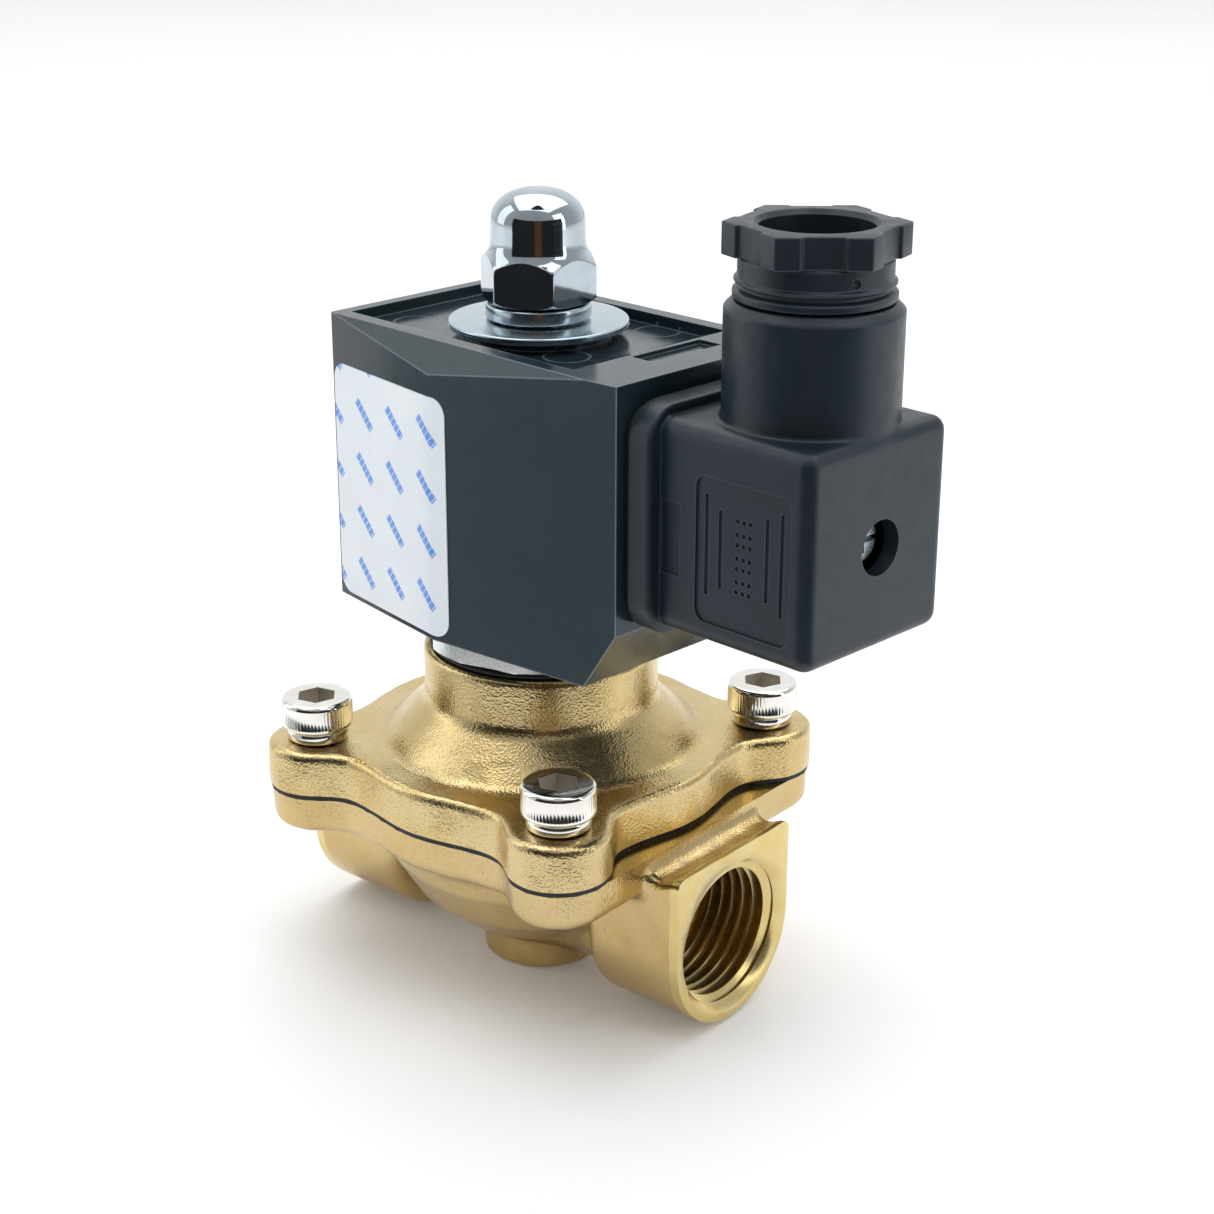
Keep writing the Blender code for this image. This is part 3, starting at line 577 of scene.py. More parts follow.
def cut_brass():
    """Machined brass: more golden and smoother than the casting, with fine tool lines."""
    paint = Paint("cut_brass", (0.87, 0.66, 0.30), 0.24, 1.0)
    x, y, z = paint.axes()
    reach = paint.length(y, paint.math("SUBTRACT", z, PORT_Z * MM))
    line = paint.node("CombineXYZ", {"X": reach, "Y": x, "Z": 0.0}).outputs["Vector"]
    turning = paint.noise(0.12, 2.0, 0.6, line)
    tone = paint.mix(paint.between(paint.noise(5.0, 3.0), 0.35, 0.7), (0.76, 0.62, 0.30), (0.71, 0.53, 0.20))
    rough = paint.between(turning, 0.3, 0.7, 0.18, 0.30)
    paint.surface(Base_Color=tone, Roughness=rough, Normal=paint.bump(turning, 0.006, 0.5))
    return paint.material


def plated(name, light, dark, roughness, bump_depth):
    """Bright plating over turned steel: cloudy tone, uneven gloss and hairline scratches."""
    paint = Paint(name, light, roughness, 1.0)
    tone = paint.mix(paint.between(paint.noise(2.6, 4.0), 0.35, 0.75), light, dark)
    hair = paint.noise(0.35, 3.0, 0.6, paint.stretched((1.0, 1.0, 9.0)))
    rough = paint.between(hair, 0.3, 0.7, roughness * 0.7, roughness * 1.4)
    paint.surface(Base_Color=tone, Roughness=rough, Normal=paint.bump(hair, bump_depth, 0.5))
    return paint.material


def turned_steel():
    """Stainless steel with the fine rings that a lathe leaves round the tube."""
    paint = Paint("turned_steel", (0.62, 0.62, 0.60), 0.3, 1.0)
    x, y, z = paint.axes()
    line = paint.node("CombineXYZ", {"X": paint.length(x, y), "Y": z, "Z": 0.0}).outputs["Vector"]
    groove = paint.noise(0.15, 3.0, 0.6, line)
    tone = paint.mix(paint.between(paint.noise(4.0, 4.0), 0.3, 0.7), (0.78, 0.79, 0.78), (0.68, 0.69, 0.68))
    paint.surface(Base_Color=tone, Roughness=paint.between(groove, 0.3, 0.7, 0.20, 0.30),
                  Normal=paint.bump(groove, 0.001, 0.4))
    return paint.material


def moulded(name, light, dark, roughness, grain_size, grain_depth, spread, edge_highlight=0.0):
    """Moulded plastic: a faint drift of tone, flow marks, the mould's own texture and a painted highlight
    along the edges.
    """
    paint = Paint(name, light, roughness)
    tone = paint.mix(paint.between(paint.noise(16, 3.0), 0.3, 0.7), light, dark)
    scuff = paint.between(paint.noise(1.4, 5.0, 0.7, paint.stretched((1.0, 1.0, 0.25))), 0.58, 0.78)
    tone = paint.mix(paint.times(scuff, 0.12), tone, tuple(2.2 * part + 0.01 for part in light))
    rough = paint.between(paint.noise(2.2, 4.0), 0.3, 0.7, roughness - spread, roughness + spread)
    if edge_highlight:
        # Painted highlight: a pale line along every rounded edge, found with the Bevel node.
        rounded = paint.node("Bevel", {"Radius": 0.26 * MM}, samples=4).outputs["Normal"]
        flat = paint.node("NewGeometry", {}).outputs["Normal"]
        turn = paint.node("VectorMath", {0: rounded, 1: flat}, operation="DOT_PRODUCT").outputs["Value"]
        edge = paint.times(paint.between(turn, 0.999, 0.975), edge_highlight)
        tone = paint.mix(edge, tone, (0.24, 0.29, 0.33))
    wave = paint.bump(paint.noise(9.0, 2.0), 0.035, 0.6)
    paint.surface(Base_Color=tone, Roughness=rough, IOR=1.5, Specular_Tint=(0.87, 0.95, 1.0, 1.0),
                  Normal=paint.bump(paint.noise(grain_size, 3.0), grain_depth, 0.7, wave))
    return paint.material


def black_rubber():
    paint = Paint("black_rubber", (0.018, 0.018, 0.019), 0.62)
    dust = paint.between(paint.noise(0.7, 5.0, 0.7), 0.55, 0.8)
    tone = paint.mix(paint.times(dust, 0.5), (0.016, 0.016, 0.017), (0.06, 0.06, 0.058))
    paint.surface(Base_Color=tone, Roughness=paint.between(paint.noise(1.5), 0.3, 0.7, 0.5, 0.72),
                  Normal=paint.bump(paint.noise(0.25, 3.0), 0.03, 0.7))
    return paint.material


def wound_copper():
    """Layers of enamelled wire, one turn for each crest of the wave, with painted shade in the troughs
    between turns.
    """
    paint = Paint("wound_copper", (0.72, 0.30, 0.13), 0.3, 1.0)
    wire = 0.35 * MM
    turns = paint.math("SINE", paint.times(paint.axes()[2], 2 * math.pi / wire))
    # Painted shade: the troughs between the turns are darker.
    tone = paint.mix(paint.between(turns, -1.0, 0.4), (0.30, 0.10, 0.04), (0.80, 0.36, 0.16))
    tone = paint.mix(paint.times(paint.noise(3.0), 0.4), tone, (0.55, 0.20, 0.08))
    paint.surface(Base_Color=tone, Roughness=paint.between(paint.noise(1.2), 0.3, 0.7, 0.2, 0.36),
                  Normal=paint.bump(turns, 0.06, 0.8))
    return paint.material


def sticker():
    """White vinyl with staggered rows of short slanting pale-blue dashes: a plain pattern, with no lettering.

    Rows follow one slant and the dashes in them another; each dash is cut across into small blocks.
    """
    paint = Paint("sticker", (0.84, 0.87, 0.90), 0.34)
    x, y, z = paint.axes()
    row_gap, dash_gap = 7.9 * MM, 7.4 * MM
    row_slope, dash_slope = 0.95, 1.05
    across = paint.math("ADD", x, paint.times(y, -0.2))
    row = paint.math("DIVIDE", paint.math("ADD", z, paint.times(across, row_slope)), row_gap)
    in_row = paint.math("ABSOLUTE", paint.math("SUBTRACT", paint.math("FRACT", row), 0.5))
    stagger = paint.times(paint.math("FLOOR", row), 0.5)
    lean = paint.math("SUBTRACT", z, paint.times(across, dash_slope))
    along = paint.math("SUBTRACT", paint.math("DIVIDE", lean, 2 * dash_gap), stagger)
    in_dash = paint.math("ABSOLUTE", paint.math("SUBTRACT", paint.math("FRACT", along), 0.5))
    ink = paint.times(paint.between(in_row, 0.12, 0.10), paint.between(in_dash, 0.25, 0.24))
    cuts = paint.math("FRACT", paint.times(along, 11.0))
    ink = paint.times(ink, paint.between(cuts, 0.14, 0.24, 0.35, 1.0))
    fade = paint.times(ink, paint.between(paint.noise(0.5, 4.0), 0.25, 0.6, 0.8, 1.0))
    paper = paint.mix(paint.between(paint.noise(8.0), 0.3, 0.7), (0.76, 0.81, 0.86), (0.81, 0.86, 0.89))
    paint.surface(Base_Color=paint.mix(fade, paper, (0.07, 0.27, 0.78)), Coat_Weight=0.3, Coat_Roughness=0.2,
                  Roughness=paint.between(paint.noise(2.0), 0.3, 0.7, 0.3, 0.4),
                  Normal=paint.bump(paint.noise(6.0, 2.0), 0.05, 0.5))
    return paint.material


def pale_floor():
    """Matt white studio board; its faint glow keeps it white out to the picture's edge."""
    paint = Paint("pale_floor", (0.92, 0.92, 0.92), 0.6)
    tone = paint.mix(paint.between(paint.noise(160, 3.0), 0.3, 0.7), (0.91, 0.91, 0.915), (0.93, 0.93, 0.935))
    paint.surface(Base_Color=tone, Specular_IOR_Level=0.1, Emission_Color=tone, Emission_Strength=0.06,
                  Roughness=paint.between(paint.noise(20), 0.3, 0.7, 0.55, 0.65))
    return paint.material


CAST_BRASS = cast_brass()
CUT_BRASS = cut_brass()
NICKEL = plated("nickel_plate", (0.88, 0.86, 0.81), (0.78, 0.75, 0.69), roughness=0.10, bump_depth=0.002)
ZINC = plated("zinc_plate", (0.49, 0.57, 0.62), (0.43, 0.51, 0.56), roughness=0.20, bump_depth=0.002)
SOCKET_NICKEL = plated("socket_nickel", (0.72, 0.68, 0.61), (0.60, 0.56, 0.49), roughness=0.42,
                       bump_depth=0.003)
# Painted light: a brighter copy of the zinc plating, so that the plug screw's head reads as lit in its hole.
SCREW_ZINC_PAINTED_LIGHT = plated("screw_zinc_painted_light", (0.80, 0.88, 0.92), (0.70, 0.79, 0.84), roughness=0.34, bump_depth=0.003)
CHROME = plated("chrome_plate", (0.50, 0.56, 0.60), (0.42, 0.47, 0.51), roughness=0.05, bump_depth=0.0012)
STEEL = turned_steel()
COIL_PLASTIC = moulded("coil_plastic", (0.015, 0.027, 0.035), (0.012, 0.023, 0.030), roughness=0.17,
                       grain_size=0.5, grain_depth=0.0025, spread=0.05, edge_highlight=0.8)
PLUG_PLASTIC = moulded("plug_plastic", (0.010, 0.019, 0.027), (0.008, 0.015, 0.022), roughness=0.40,
                       grain_size=0.22, grain_depth=0.010, spread=0.06, edge_highlight=0.14)
SPOOL_PLASTIC = moulded("spool_plastic", (0.55, 0.54, 0.48), (0.48, 0.47, 0.41), roughness=0.5,
                        grain_size=0.3, grain_depth=0.012, spread=0.05)
RUBBER = black_rubber()
COPPER = wound_copper()
STICKER = sticker()


# ---------------------------------------------------------------- body and bonnet

def side_reach(along):
    """Distance of a bonnet side from the middle, at a place along that side."""
    along = abs(along)
    if along <= SIDE_WAVE:
        return SIDE_MID + SIDE_SWELL * math.cos(math.pi * along / SIDE_WAVE)
    end = BOLT - LOBE_R * math.sin(LOBE_TURN)
    reach = BOLT + LOBE_R * math.cos(LOBE_TURN)
    span = end - SIDE_WAVE
    t = (along - SIDE_WAVE) / span
    start = SIDE_MID - SIDE_SWELL
    rise = span * math.tan(LOBE_TURN)
    return start + (reach - start) * (3 * t * t - 2 * t ** 3) + rise * (t ** 3 - t * t)


def flange_outline(flat_ends=False):
    """The four-lobed outline; with flat_ends its two X sides run straight from lobe to lobe."""
    end = BOLT - LOBE_R * math.sin(LOBE_TURN)
    steps = 40
    points = []
    for quarter in range(4):
        straight = flat_ends and quarter % 2 == 0
        local = []
        if not straight:
            places = [end * (2 * step / steps - 1) for step in range(1, steps)]
            local += [(place, side_reach(place)) for place in places]
        first = QUARTER if straight else QUARTER + LOBE_TURN
        last = -LOBE_TURN if straight or not flat_ends else 0.0
        local += arc((BOLT, BOLT), LOBE_R, first, last, 24)
        turn = Matrix.Rotation(-QUARTER * (quarter + 1), 2)
        points += [tuple(turn @ Vector(point)) for point in local]
    return points


def port_outline():
    """The D of a port boss as (y, z): flat on top, round below."""
    corner = 1.2
    points = arc((PORT_R - corner, PORT_TOP - corner), corner, 0, QUARTER, 6)
    points += arc((corner - PORT_R, PORT_TOP - corner), corner, QUARTER, 2 * QUARTER, 6)
    return points + arc((0, PORT_Z), PORT_R, 2 * QUARTER, 4 * QUARTER, 48)


def bolt_places():
    return [(BOLT, BOLT), (-BOLT, BOLT), (-BOLT, -BOLT), (BOLT, -BOLT)]


def bolt_drills(low, high):
    return [turned("drill", [(0, high), (BOLT_HOLE, high), (BOLT_HOLE, low), (0, low)], 40, center=place)
            for place in bolt_places()]


def thread_tap(side):
    """A threaded rod along X that cuts a port's thread: one helical ribbon with a fan at each end."""
    per_turn = 72
    crest = 0.30
    flank = (THREAD_PITCH - 2 * crest) / 2
    ribs = [(0.0, THREAD_MAJOR), (crest, THREAD_MAJOR), (crest + flank, THREAD_MINOR),
            (2 * crest + flank, THREAD_MINOR)]
    turns = math.ceil((PORT_FACE - THREAD_END) / THREAD_PITCH) + 1
    count = turns * per_turn
    start = THREAD_END - THREAD_PITCH
    points = []
    for step in range(count + per_turn + 1):
        angle = 2 * math.pi * step / per_turn
        x = start + THREAD_PITCH * step / per_turn
        row = ribs if step <= count else ribs[:1]
        points += [(x + offset, radius * math.cos(angle), PORT_Z + radius * math.sin(angle))
                   for offset, radius in row]

    def at(step, rib):
        """Index of a point; the rib after the last is the first one of the next turn."""
        if rib == len(ribs):
            step, rib = step + per_turn, 0
        return len(ribs) * step + rib if step <= count else len(ribs) * (count + 1) + step - count - 1

    faces = [(at(step, rib), at(step, rib + 1), at(step + 1, rib + 1), at(step + 1, rib))
             for step in range(count) for rib in range(len(ribs))]
    for first, middle in ((0, start), (count, start + THREAD_PITCH * (turns + 1))):
        loop = [at(first, rib) for rib in range(len(ribs) + 1)]
        loop += [at(first + per_turn - step, 0) for step in range(1, per_turn + 1)]
        faces += [(a, b, len(points)) for a, b in zip(loop, loop[1:])]
        points.append((middle, 0, PORT_Z))
    tap = new_object("tap", new_mesh("tap", [(side * x, side * y, z) for x, y, z in points], faces))
    face_out(tap)
    return tap


def face_out(item):
    """Point every face outwards."""
    edit_mesh(item.data, lambda bm: bmesh.ops.recalc_face_normals(bm, faces=bm.faces))


def cone_x(radii, ends, side):
    """A cutter along X, as a turned piece laid on its side at the port's height."""
    tool = turned("cone", [(0, ends[1]), (radii[1], ends[1]), (radii[0], ends[0]), (0, ends[0])], 96)
    tool.data.transform(Matrix.Translation((0, 0, PORT_Z * MM)) @ Matrix.Rotation(side * QUARTER, 4, "Y"))
    return tool


def cast_body_shape():
    grid = Grid((-36.5, -30.5, 0), (36.5, 30.5, 29), 0.42)
    x, y, z = grid.x, grid.y, grid.z
    inset = 0.35
    edge = outline_distance(flange_outline(flat_ends=True), x, y) + inset
    draft = 0.035 * np.maximum(BODY_TOP - z, 0)
    flange = slab(edge + draft, z, FLANGE_LOW, 34.0, 1.9)
    bowl = outline_distance([(-20, 24), (23.4, 24), (23.4, 21.5), (22, 17.4), (18.5, 11.8), (13, 7.2),
                             (9.6, 5.4), (8.6, 4.4), (8.6, 0.5), (8.1, 0), (-20, 0)], grid.radius(), z)
    tunnel = slab(np.hypot(y, z - OUTLET_Z) - 7.2, x, 0, 22, 1.0)
    solid = union(union(flange, bowl, 2.6), tunnel, 3.0)
    port = outline_distance(port_outline(), y, z)
    for side in (1, -1):
        boss = slab(port, side * x, PORT_INNER, 44, 2.2)
        trough = np.hypot(side * x - TROUGH[0], z - TROUGH[1]) - TROUGH_R
        solid = remove(union(solid, boss, 1.5), trough, 1.0)
    hump = 0.05 * np.sin(0.9 * x + 1.3 * np.sin(0.5 * y)) * np.sin(0.8 * y + 0.7 * z)
    return grown("body_casting", solid + hump, grid)


def mark_cut(item, is_cut):
    """Give the second material to the faces whose middle was machined."""
    mesh = item.data
    middles = np.empty(3 * len(mesh.polygons))
    normals = np.empty(3 * len(mesh.polygons))
    mesh.polygons.foreach_get("center", middles)
    mesh.polygons.foreach_get("normal", normals)
    chosen = is_cut(middles.reshape(-1, 3) / MM, normals.reshape(-1, 3))
    mesh.polygons.foreach_set("material_index", chosen.astype(np.int32))


def body_is_cut(middle, normal):
    x, y, z = middle.T
    reach = np.hypot(y, z - PORT_Z)
    top = (z > BODY_TOP - 0.05) & (normal[:, 2] > 0.9)
    face = np.abs(x) > PORT_FACE - 1.35
    port = (np.abs(x) > THREAD_END - 0.1) & (reach < 11.7)
    chamber = (np.hypot(x, y) < CHAMBER_R + 0.1) & (z > 5) & (normal[:, 2] > -0.5) & (np.abs(x) < 18)
    return top | face | port | chamber


def make_body():
    body = cast_body_shape()
    chamber = turned("chamber", [(0, 30), (CHAMBER_R, 30), (CHAMBER_R, 16), (9.8, 16), (9.8, 24.5), (8, 24.5),
                                 (8, 5), (0, 5)])
    tools = [block("mill_top", (-FAR, -FAR, BODY_TOP), (FAR, FAR, FAR)),
             block("mill_out", (PORT_FACE, -FAR, -FAR), (FAR, FAR, FAR)),
             block("mill_in", (-FAR, -FAR, -FAR), (-PORT_FACE, FAR, FAR)),
             chamber,
             rod_x("outlet", OUTLET_R, 2, 22, z=OUTLET_Z, steps=48),
             block("inlet", (-22, -6.5, 16.3), (-13, 6.5, 21.6))]
    for side in (1, -1):
        tools += [thread_tap(side),
                  cone_x((9.9, 11.6), (PORT_FACE - 1.3, PORT_FACE + 0.2), side),
                  cone_x((10.6, 10.6), (THREAD_END - 0.4, THREAD_END + 1.2), side)]
    carve(body, *tools, *bolt_drills(10, 40))
    finish_piece(body, "valve", [CAST_BRASS, CUT_BRASS], ["valve_body"])
    mark_cut(body, body_is_cut)


def cast_cover_shape():
    grid = Grid((-30.5, -30.5, 26), (30.5, 30.5, NECK_TOP), 0.36)
    radius = grid.radius()
    edge = outline_distance(flange_outline(), grid.x, grid.y)
    plate = slab(edge, grid.z, 20, COVER_TOP, 1.05)
    cone = outline_distance([(-30, 40.6), (-30, 27), (23.5, 27), (22.7, 34.3), (16.4, 40.6)], radius, grid.z)
    neck = slab(radius - NECK_R, grid.z, 20, NECK_TOP, 0.6)
    solid = union(union(neck, cone, 0.9), plate, 0.9)
    hump = 0.04 * np.sin(0.8 * grid.x + 1.1 * np.sin(0.6 * grid.y)) * np.sin(0.7 * grid.y + 0.9 * grid.z)
    return grown("cover_casting", solid + hump * (radius > NECK_R + 3), grid)


def cover_is_cut(middle, normal):
    x, y, z = middle.T
    under = (z < COVER_LOW + 0.05) & (normal[:, 2] < -0.9)
    inside = (np.hypot(x, y) < CHAMBER_R + 0.1) & (z < 39) & (normal[:, 2] < 0.5)
    top = (z > NECK_TOP - 0.05) | ((np.hypot(x, y) < 12.5) & (z > 39))
    return under | inside | top


def make_cover():
    cover = cast_cover_shape()
    mill = block("mill", (-FAR, -FAR, 0), (FAR, FAR, COVER_LOW))
    hollow = turned("hollow", [(0, 50), (12.3, 50), (12.3, 39.5), (8.5, 39.5), (8.5, 36), (CHAMBER_R, 33),
                               (CHAMBER_R, 26), (0, 26)])
    carve(cover, mill, hollow, *bolt_drills(20, 40))
    finish_piece(cover, "valve", [CAST_BRASS, CUT_BRASS], ["cover"])
    mark_cut(cover, cover_is_cut)


def make_diaphragm():
    """The rubber sheet between body and bonnet; its trimmed edge has small flakes of flash.

    A rolled fold hangs under the sheet's opening, and the middle is a separate ring that is set on no body.
    """
    bottom, top = corners("diaphragm")
    low, high = bottom.z - 0.1, top.z + 0.1
    outline = [Vector(point) for point in flange_outline()]
    edge = []
    for index, point in enumerate(outline):
        ahead = outline[(index + 1) % len(outline)] - outline[index - 1]
        inward = Vector((ahead.y, -ahead.x)).normalized()
        flash = 0.16 * max(0, math.sin(index * 2.39) * math.sin(index * 0.71 + 1))
        over_straight_end = abs(point.x) > 24 and abs(point.y) < 16
        set_back = 0.55 if over_straight_end else 0.0
        edge.append(tuple(point + inward * (0.22 - flash + set_back)))
    sheet = prism("diaphragm_sheet", edge[::-1], low, high)                     # the outline runs clockwise
    inner, outer, thick, floor = 14.0, 16.6, 0.6, low - 2.4
    hole = turned("hole", [(0, 40), (outer - thick, 40), (outer - thick, 20), (0, 20)], 96)
    carve(sheet, hole, *bolt_drills(20, 40))
    roll = [(outer - thick, high), (outer, high), (outer, floor), (inner, floor), (inner, floor + thick),
            (outer - thick, floor + thick)]
    weld(sheet, turned("roll", roll, 96, ring=True))
    finish_piece(sheet, "valve", [RUBBER], ["diaphragm"])

    middle = [(2.7, high), (inner + thick, high), (inner + thick, floor + 0.2), (inner + 0.1, floor + 0.2),
              (inner + 0.1, low), (2.7, low)]
    moving = turned("diaphragm_middle", densified(middle, 0.2), 96, ring=True)
    finish_piece(moving, None, [RUBBER])
    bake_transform(moving)


# ---------------------------------------------------------------- screws, washers, tube and cap nut

def knurl(reach, height, angles):
    """Fine upright teeth round the side of a screw head, for turned()."""
    teeth, depth = 66, 0.06
    if reach[0] < HEAD_R - 0.05 or not KNURL_LOW < height < KNURL_TOP:
        return reach
    return reach - depth * (0.5 + 0.5 * np.cos(teeth * angles))


def in_socket(middle, x, y):
    """Which faces line the socket of the screw at (x, y)."""
    reach = np.hypot(middle[:, 0] - x, middle[:, 1] - y)
    height = middle[:, 2]
    inside = 0.007                                # keeps out the walls' own corners
    return (reach < SOCKET_CORNER - inside) & (height > HEAD_TOP - 4) & (height < HEAD_TOP - 0.01)


def make_screws():
    shank = BOLT_HOLE - 0.3
    profile = [(0, HEAD_TOP)] + arc((HEAD_R - 0.7, HEAD_TOP - 0.7), 0.7, QUARTER, 0, 6)
    profile += [(HEAD_R, height)
                for height in (KNURL_TOP + 0.02, KNURL_TOP - 0.1, KNURL_LOW + 0.1, KNURL_LOW - 0.02)]
    profile += arc((HEAD_R - 0.4, HEAD_LOW + 0.4), 0.4, 0, -QUARTER, 4)
    profile += [(shank, HEAD_LOW), (shank, screw_low.z + 0.5), (shank - 0.5, screw_low.z), (0, screw_low.z)]
    pattern = turned("cover_screw", profile, 240, knurl)
    socket = prism("socket", arc((0, 0), SOCKET_CORNER, 0, 4 * QUARTER, 6)[:-1], HEAD_TOP - SOCKET_DEPTH,
                   HEAD_TOP + 1)
    cone = turned("point", [(0, HEAD_TOP - 2), (2.4, HEAD_TOP - 2.9), (0, HEAD_TOP - 3.7)], 48)
    carve(pattern, socket, cone)
    for index, (x, y) in enumerate(bolt_places(), start=1):
        turn = math.radians(4.5 + 3 * index)          # as tightening left each one
        screw = new_object(f"socket_screw_{index}", pattern.data.copy())
        screw.data.transform(Matrix.Translation((x * MM, y * MM, 0)) @ Matrix.Rotation(turn, 4, "Z"))
        finish_piece(screw, "valve", [NICKEL, SOCKET_NICKEL], [f"cover_screw_{index}"])
        mark_cut(screw, lambda middle, normal: in_socket(middle, x, y))
        washer = split_ring(f"split_washer_{index}", BOLT_HOLE + 0.02, (lock_high.x - lock_low.x) / 2,
                            lock_low.z, lock_high.z, math.radians(75 + 22 * index), (x, y), pitch=0.1)
        finish_piece(washer, "valve", [NICKEL], [f"lock_washer_{index}"])
    bpy.data.objects.remove(pattern, do_unlink=True)


def split_ring(name, inner, outer, low, high, gap_turn, center=(0.0, 0.0), pitch=0.3):
    """A spring washer: a square-section ring with a slanting gap, whose ends stand a pitch apart."""
    corner = 0.3
    section = rounded_outline((inner, low), (outer, high - pitch), corner, 3)
    half_gap = 0.35 / outer
    steps = 90
    points = []
    for step in range(steps + 1):
        t = step / steps
        for radius, height in section:
            slant = 0.5 * (height - low) / outer
            angle = gap_turn + half_gap + (2 * math.pi - 2 * half_gap) * t + slant
            points.append((center[0] + radius * math.cos(angle), center[1] + radius * math.sin(angle),
                           height + pitch * t))
    count = len(section)
    faces = [list(range(count)), list(range(steps * count, (steps + 1) * count))[::-1]]
    faces += [[step * count + (k + 1) % count, step * count + k, (step + 1) * count + k,
               (step + 1) * count + (k + 1) % count] for step in range(steps) for k in range(count)]
    ring = new_object(name, new_mesh(name, points, faces))
    face_out(ring)
    return ring


def make_stud_hardware():
    inner, outer, edge = 4.5, flat_high.x, 0.3
    low, high = flat_low.z, flat_high.z
    middle = (low + high) / 2
    profile = [(inner, high)] + arc((outer - edge, high - edge), edge, QUARTER, 0, 5)
    profile += [(outer, middle + 0.12), (outer - 0.14, middle + 0.06), (outer - 0.14, middle - 0.06),
                (outer, middle - 0.12)]
    profile += arc((outer - edge, low + edge), edge, 0, -QUARTER, 5) + [(inner, low)]
    finish_piece(turned("stud_washer", profile, 160, ring=True), "valve", [ZINC], ["flat_washer"])
    spring = split_ring("stud_spring_washer", inner, spring_high.x, spring_low.z, spring_high.z,
                        math.radians(150))
    finish_piece(spring, "valve", [ZINC], ["spring_washer"])

    power = 2 / 2.3                                  # a little squarer than an ellipse
    rise = nut_high.z - NUT_DOME
    dome = [(NUT_WAIST * math.sin(a) ** power, NUT_DOME + rise * max(math.cos(a), 0) ** power)
            for a in np.linspace(0, QUARTER, 22)]
    flare = rounded_profile([(NUT_WAIST, 106.6), (NUT_WAIST + 0.05, 104.6), (6.6, 103.6), (7.15, 102.8),
                             (8.08, 101.8), (8.08, 97.5), (7.3, nut_low.z), (4.4, nut_low.z)], 0.9, 8)
    profile = [(0, nut_high.z)] + dome[1:] + densified(flare, 0.25) + [(4.3, 106.8), (0, 106.8)]
    nut = turned("domed_nut", profile, 240, hexagon(NUT_FLAT, NUT_TURN))
    finish_piece(nut, "valve", [CHROME], ["cap_nut"], split=math.radians(24))


def densified(profile, longest):
    """Split the long stretches of a profile, so that a shape cut across them stays smooth."""
    made = [profile[0]]
    for before, here in zip(profile, profile[1:]):
        count = max(1, math.ceil(math.dist(before, here) / longest))
        made += [tuple(Vector(before).lerp(Vector(here), k / count)) for k in range(1, count + 1)]
    return made


def make_tube():
    """Armature tube with its hexagon, closing plug and stud."""
    bore, screw_r = 6.2, 12.0
    low, top = tube_low.z, tube_high.z
    profile = [(0, top), (STUD_R - 0.5, top), (STUD_R, top - 0.5), (STUD_R, 91.5), (TUBE_R - 0.5, 91.5),
               (TUBE_R, 91.0), (TUBE_R, HEX_TOP)]
    profile += densified([(15.4, HEX_TOP), (HEX_ROUND, HEX_TOP - 0.4), (HEX_ROUND, HEX_LOW + 0.4),
                          (15.6, HEX_LOW)], 0.25)
    profile += [(screw_r, HEX_LOW), (screw_r, low + 0.4), (screw_r - 0.4, low), (bore, low), (bore, 84),
                (0, 84)]
    tube = turned("tube_and_stud", profile, 240, hexagon(HEX_FLAT, HEX_TURN))
    finish_piece(tube, "valve", [STEEL], ["armature_tube"], split=math.radians(24))
    ring_foot, ring_head = corners("tube_o_ring")
    section = rounded_outline((13.2, ring_foot.z), (ring_head.x, ring_head.z), 0.22, 4)
    seal = turned("tube_seal", section[::-1], 120, ring=True)
    finish_piece(seal, "valve", [RUBBER], ["tube_o_ring"])


def make_return_spring():
    """The frame's spring, against which the plunger rises, kept in the shape that the frame gave it."""
    spring = new_object("return_spring", frame["nodes"]["plunger_spring"].data.copy())
    finish_piece(spring, "valve", [STEEL], ["plunger_spring"])
    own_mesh(spring)


# ---------------------------------------------------------------- coil

def copy_of(node, name):
    """The frame's solid as a new mesh with its flat faces whole, in the coil's frame."""
    mesh = frame["nodes"][node].data.copy()
    mesh.name = name
    mesh.materials.clear()
    mesh.transform(TO_ROW.inverted())
    edit_mesh(mesh, merge_flat)
    return new_object(name, mesh)


def merge_flat(bm):
    bmesh.ops.remove_doubles(bm, verts=bm.verts, dist=1e-6)
    bmesh.ops.dissolve_limit(bm, angle_limit=math.radians(0.6), verts=bm.verts, edges=bm.edges)


def into_row(item):
    """Turn a piece from the coil's frame to the row frame."""
    item.data.transform(TO_ROW)
    return item


def make_coil():
    """The housing with softened edges and the ring marks of ejector pins in its pocket."""
    coil = soften(copy_of("coil_housing", "coil_cover"), 0.38, above=25)
    rim, floor = POCKET_FLOOR + 0.5, POCKET_FLOOR - 0.12
    section = [(3.0, rim), (3.1, rim), (3.1, floor), (2.95, floor)]
    marks = [turned("pin_mark", section, 48, ring=True, center=place)
             for place in ((-16.6, -7.3), (10.5, 12.1), (11.5, -6.0), (-15.5, 9.0))]
    carve(coil, *marks, solver="EXACT")
    finish_piece(into_row(coil), "coil", [COIL_PLASTIC], ["coil_housing"],
                 split=math.radians(35), flat=True)


